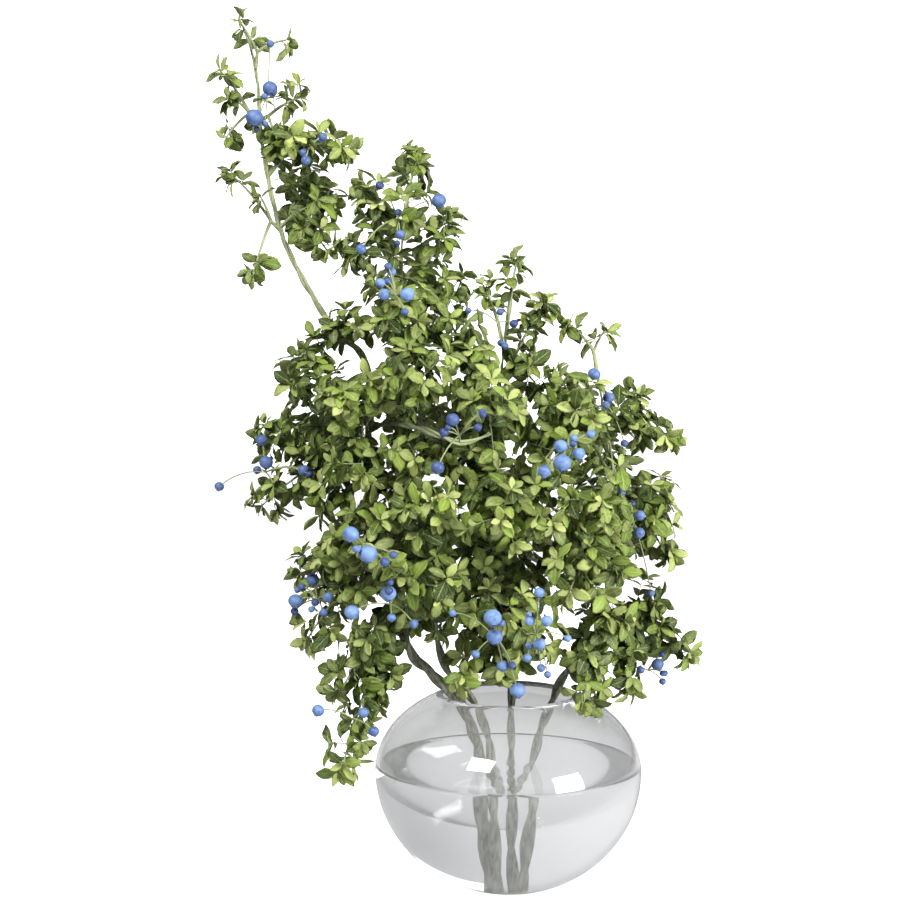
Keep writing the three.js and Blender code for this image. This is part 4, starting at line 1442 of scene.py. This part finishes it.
@dataclass
class Clusters:
    """The berry clusters, with the stalks that tie them to the nearest twig."""

    skin: bpy.types.Material
    wood: Sequence[Vector]
    stalk_radius: float = 0.9 * MM
    pedicel_radius: float = 0.6 * MM
    small: tuple[float, float] = (2.6 * MM, 3.8 * MM)
    # front and shaded bound the depth over which berries darken, with the weight below: painted shade.
    front: float = -90 * MM
    shaded: float = 20 * MM
    line_pull: float = 0.5
    ripe_spread: float = 0.25
    painted_shade_depth: float = 0.6
    small_ripe: tuple[float, ...] = (0.0, 0.0, 0.15, 0.6)
    ripe_radius: float = 5 * MM
    veil_depth: float = 60 * MM
    veil_share: float = 0.9

    def __post_init__(self) -> None:
        """Lays out every berry and stalk."""
        self.draw = random.Random(71)
        self.stalks: list[Twig] = []
        self.berries = {plan.name: self.lay_out(plan) for plan in CLUSTERS}

    def lay_out(self, plan: ClusterPlan) -> list[Berry]:
        """Places one cluster's berries, its stalk and its pedicels.

        Args:
            plan: The cluster.

        Returns:
            The berries.
        """
        spots = [(to_metres(spot), spot[3] * MM / 2) for spot in plan.berries]
        centre = sum((spot for spot, _ in spots), Vector()) / len(spots)
        anchor = min(self.wood, key=lambda point: (point - centre).length)
        knot = centre.lerp(anchor, 0.35)
        for _ in range(plan.extra):
            near, radius = self.draw.choice(spots)
            away = Vector([self.draw.uniform(-1, 1) for _ in range(3)]).normalized()
            small = self.draw.uniform(*self.small)
            spots.append((near + away * (radius + small * 1.35) + Vector((0, 1 * MM, 0)), small))
        crest = anchor.lerp(knot, 0.5) + UP * (0.15 * (knot - anchor).length)
        self.stalks.append(Twig(arc(anchor, crest, knot, 6), self.stalk_radius, self.pedicel_radius))
        return [self.hang(knot, spot, radius, plan.ripe) for spot, radius in spots]

    def hang(self, knot: Vector, spot: Vector, radius: float, ripe: float) -> Berry:
        """Hangs one berry from the knot on its pedicel.

        Args:
            knot: Where the pedicel leaves the stalk.
            spot: The berry's middle.
            radius: The berry's radius.
            ripe: How ripe its cluster is, from 0 to 1; the middle cluster's value is painted shade.

        Returns:
            The berry, darker the deeper it hangs in the foliage: painted shade, added to a random real
            ripeness.
        """
        crest = knot.lerp(spot, 0.55) + UP * (0.22 * (spot - knot).length)
        line = arc(knot, crest, spot, 6)
        self.stalks.append(Twig(line, self.pedicel_radius, self.pedicel_radius))
        axis = (line[-1] - line[-2]).normalized() * self.line_pull - UP
        # Painted shade: berries further back are darkened through their ripeness.
        depth = min(1.0, max(0.0, (spot.y - self.front) / (self.shaded - self.front)))
        ripeness = ripe + self.draw.uniform(0.0, self.ripe_spread) + self.painted_shade_depth * depth
        if radius < self.ripe_radius:
            ripeness += self.draw.choice(self.small_ripe)
        return Berry(spot, radius, axis.normalized(), min(1.0, ripeness))

    def build(self) -> None:
        """Builds one piece for each cluster."""
        template = BerryTemplate().build()
        tree = BerryTree()
        for name, berries in self.berries.items():
            attributes = {
                "axis": [berry.axis for berry in berries],
                "radius_mm": [berry.radius / MM for berry in berries],
                "ripeness": [berry.ripeness for berry in berries],
            }
            source = mesh_of(name, [berry.centre for berry in berries], attributes=attributes)
            values = {"Berry": template, "Lumps": 0.5 * MM, "Material": self.skin}
            place_piece(tree.apply(f"{name}_fruit", source, values), "berry", name)
        bpy.data.objects.remove(template)

    def crowds(self, point: Vector, reach: float) -> bool:
        """True if a point is too near a berry, or hangs before it on the arrangement's front."""
        for berries in self.berries.values():
            for berry in berries:
                gap = point - berry.centre
                if gap.length < berry.radius + reach:
                    return True
                in_front = -self.veil_depth < gap.y < 0.0
                if in_front and math.hypot(gap.x, gap.z) < berry.radius * self.veil_share + reach:
                    return True
        return False


@dataclass
class Foliage:
    """The boughs: their twigs and leaves."""

    bark: bpy.types.Material
    leaf: bpy.types.Material
    stems: Stems
    first_seed: int = 11
    berry_room: float = 3.5 * MM
    glass_room: float = 2 * MM
    crossing_room: float = 9 * MM
    crossing_depth: float = 8 * MM

    def __post_init__(self) -> None:
        """Grows every bough."""
        self.growths = {}
        for number, plan in enumerate(BOUGHS):
            root = self.stems.routes[plan.stem].at_height(plan.height * MM)
            self.growths[plan.name] = BoughGrower(plan, root, self.first_seed + number).grow()

    def wood_points(self) -> list[Vector]:
        """Points on the stems and the boughs that a stalk may grow from."""
        points = [point for route in self.stems.routes.values() for point in route.points[::6]]
        for growth in self.growths.values():
            points.extend(point for twig in growth.twigs for point in twig.points)
        return points

    def build(self, vase: Vase, clusters: Clusters) -> None:
        """Builds the leaves of each bough and the twigs of each stem.

        Args:
            vase: Leaves that would pass through it are left out.
            clusters: Leaves that would press on a berry or hide it are left out.
        """
        template = BladeTemplate().build()
        tree = LeafTree()
        total = 0
        for name, growth in self.growths.items():
            leaves = [leaf for leaf in growth.leaves if self.is_free(leaf, vase, clusters)]
            total += len(leaves)
            values = {"Blade": template, "Thickness": 0.16 * MM, "Ripple": 0.14, "Material": self.leaf}
            piece = tree.apply(f"{name}_leaves", self.leaf_points(name, leaves), values)
            place_piece(piece, "leaf", name)
        bpy.data.objects.remove(template)
        LOG.info("leaves in all: %d", total)
        twigs = TwigTree()
        for plan in STEMS:
            boughs = [bough.name for bough in BOUGHS if bough.stem == plan.name]
            lines = [twig for name in boughs for twig in self.growths[name].twigs]
            if lines:
                self.skin_twigs(twigs, f"{plan.name}_stem_twigs", lines)
        self.skin_twigs(twigs, "berry_stalks", clusters.stalks)

    def skin_twigs(self, tree: TwigTree, name: str, twigs: Iterable[Twig]) -> None:
        """Builds one piece from many thin lines."""
        points: list[Vector] = []
        edges: list[tuple[int, int]] = []
        radii: list[float] = []
        for twig in twigs:
            first = len(points)
            count = len(twig.points)
            points.extend(twig.points)
            radii.extend(twig.start + (twig.end - twig.start) * k / (count - 1) for k in range(count))
            edges.extend((first + k, first + k + 1) for k in range(count - 1))
        source = mesh_of(name, points, edges, attributes={"thickness": radii})
        place_piece(tree.apply(name, source, {"Sides": 6, "Material": self.bark}), "bark")

    def is_free(self, leaf: Leaf, vase: Vase, clusters: Clusters) -> bool:
        """True if a leaf clears the vase and the berries and leaves the crossing stem in view."""
        spots = [leaf.root + leaf.along * (leaf.length * share) for share in (0.35, 0.65, 0.95)]
        if any(vase.holds(spot, self.glass_room) for spot in spots):
            return False
        if any(self.covers_crossing(spot) for spot in spots):
            return False
        return not any(clusters.crowds(spot, self.berry_room) for spot in spots)

    def covers_crossing(self, spot: Vector) -> bool:
        """True if a spot touches the crossing stem or lies before it."""
        gaps = [spot - point for point in self.stems.routes["cross"].points[::4]]
        return any(
            math.hypot(gap.x, gap.z) < self.crossing_room and gap.y < self.crossing_depth for gap in gaps
        )

    @staticmethod
    def leaf_points(name: str, leaves: Sequence[Leaf]) -> bpy.types.Mesh:
        """One point for each leaf, with the values that bend it."""
        attributes: dict[str, Sequence[Any]] = {
            "root": [leaf.root for leaf in leaves],
            "along": [leaf.along for leaf in leaves],
            "facing": [leaf.facing for leaf in leaves],
        }
        for key in ("length", "width", "curl", "fold", "tone", "youth"):
            attributes[key] = [getattr(leaf, key) for leaf in leaves]
        return mesh_of(name, [leaf.root for leaf in leaves], attributes=attributes)


@dataclass
class Studio:
    """The camera, the lights, the white surroundings and the floor.

    Attributes:
        eye: Where the camera stands.
        lens: Its focal length, in millimetres.
        sensor: The width of its sensor, in millimetres.
        floor_half: Half the side of the floor.
        sky: What falls on surfaces: the light from below and how much more comes from above.
        room: What the glass passes on: the light from in front and how much more comes from behind.
        sides: How bright that is on the bright side, and how much is lost on the dim side.
        mirror_loss: The share of it lost in a mirror reflection.
        aim: What the lamps point at.
    """

    eye: tuple[float, float, float] = (-0.0521, -1.132, 0.387)
    lens: float = 50.0
    sensor: float = 36.0
    floor_half: float = 30.0
    sky: tuple[float, float] = (0.03, 0.24)
    room: tuple[float, float] = (0.32, 0.50)
    sides: tuple[float, float] = (1.22, 0.60)
    mirror_loss: float = 0.55
    aim: tuple[float, float, float] = (-0.03, 0.0, 0.38)

    def build(self) -> None:
        """Builds the studio."""
        self.camera()
        self.lamp("key_light", (-0.9, -1.5, 1.9), 0.8, 72.0)
        self.lamp("fill_light", (1.5, -1.3, 0.55), 0.9, 68.0)
        self.lamp("back_light", (0.7, 1.6, 1.6), 1.2, 16.0)
        self.surroundings()
        self.floor()

    def camera(self) -> None:
        """Sets the camera, level and looking along +Y."""
        data = bpy.data.cameras.new("camera")
        data.lens = self.lens
        data.sensor_width = self.sensor
        data.clip_end = 200.0
        camera = bpy.data.objects.new("camera", data)
        camera.location = self.eye
        camera.rotation_euler = (math.radians(90), 0.0, 0.0)
        bpy.context.scene.collection.objects.link(camera)
        bpy.context.scene.camera = camera

    def lamp(self, name: str, place: tuple[float, float, float], size: float, power: float) -> None:
        """Sets one square soft light, aimed at the middle of the arrangement."""
        data = bpy.data.lights.new(name, "AREA")
        data.size = size
        data.energy = power
        lamp = bpy.data.objects.new(name, data)
        lamp.location = place
        way = Vector(self.aim) - Vector(place)
        lamp.rotation_euler = way.to_track_quat("-Z", "Y").to_euler()
        bpy.context.scene.collection.objects.link(lamp)

    def surroundings(self) -> None:
        """Sets the surroundings: a white backdrop, brighter above, with a dimmer room in front."""
        world = bpy.data.worlds.new("studio")
        bpy.context.scene.world = world
        world.use_nodes = True
        world.node_tree.nodes.clear()
        wiring = Wiring(world.node_tree)
        direction = wiring.node("ShaderNodeTexCoord", output="Generated")
        above = wiring.ease(wiring.part(direction, "Z"), -0.2, 0.9)
        behind = wiring.ease(wiring.part(direction, "Y"), -0.3, 0.9)
        seen = wiring.node("ShaderNodeLightPath", output="Is Camera Ray")
        diffuse = wiring.node("ShaderNodeLightPath", output="Is Diffuse Ray")
        base, rise = self.sky
        light = base + above * rise
        glossy = wiring.node("ShaderNodeLightPath", output="Is Glossy Ray")
        dim_side = wiring.ease(wiring.part(direction, "X"), -0.2, 0.6)
        through = wiring.node("ShaderNodeLightPath", output="Is Transmission Ray")
        mirrored = glossy * (1.0 - through)
        base, rise = self.room
        lit, shade = self.sides
        room = (base + behind * rise) * (lit - dim_side * shade) * (1.0 - mirrored * self.mirror_loss)
        strength = light * diffuse + room * (1.0 - diffuse) + seen
        backdrop = wiring.node("ShaderNodeBackground", inputs={"Color": (1, 1, 1, 1), "Strength": strength})
        output = world.node_tree.nodes.new("ShaderNodeOutputWorld")
        wiring.feed(output.inputs["Surface"], backdrop)

    def floor(self) -> None:
        """Lays the plain floor."""
        half = self.floor_half
        corners = [(-half, -half, 0.0), (half, -half, 0.0), (half, half, 0.0), (-half, half, 0.0)]
        mesh = mesh_of("studio_floor", corners, faces=[(0, 1, 2, 3)])
        floor = piece_from("studio_floor", mesh, FloorFinish().material())
        floor.location.z = -0.2 * MM


def main() -> None:
    """Loads the frame and dresses it, piece by piece."""
    logging.basicConfig(level=logging.INFO, format="%(message)s")
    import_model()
    Studio().build()
    bpy.context.scene.view_settings.view_transform = "Standard"
    bark = BarkFinish().material()
    vase = Vase()
    vase.build()
    stems = Stems(bark)
    stems.build()
    foliage = Foliage(bark, LeafFinish().material(), stems)
    clusters = Clusters(BerryFinish().material(), foliage.wood_points())
    clusters.build()
    foliage.build(vase, clusters)


if __name__ == "__main__":
    main()
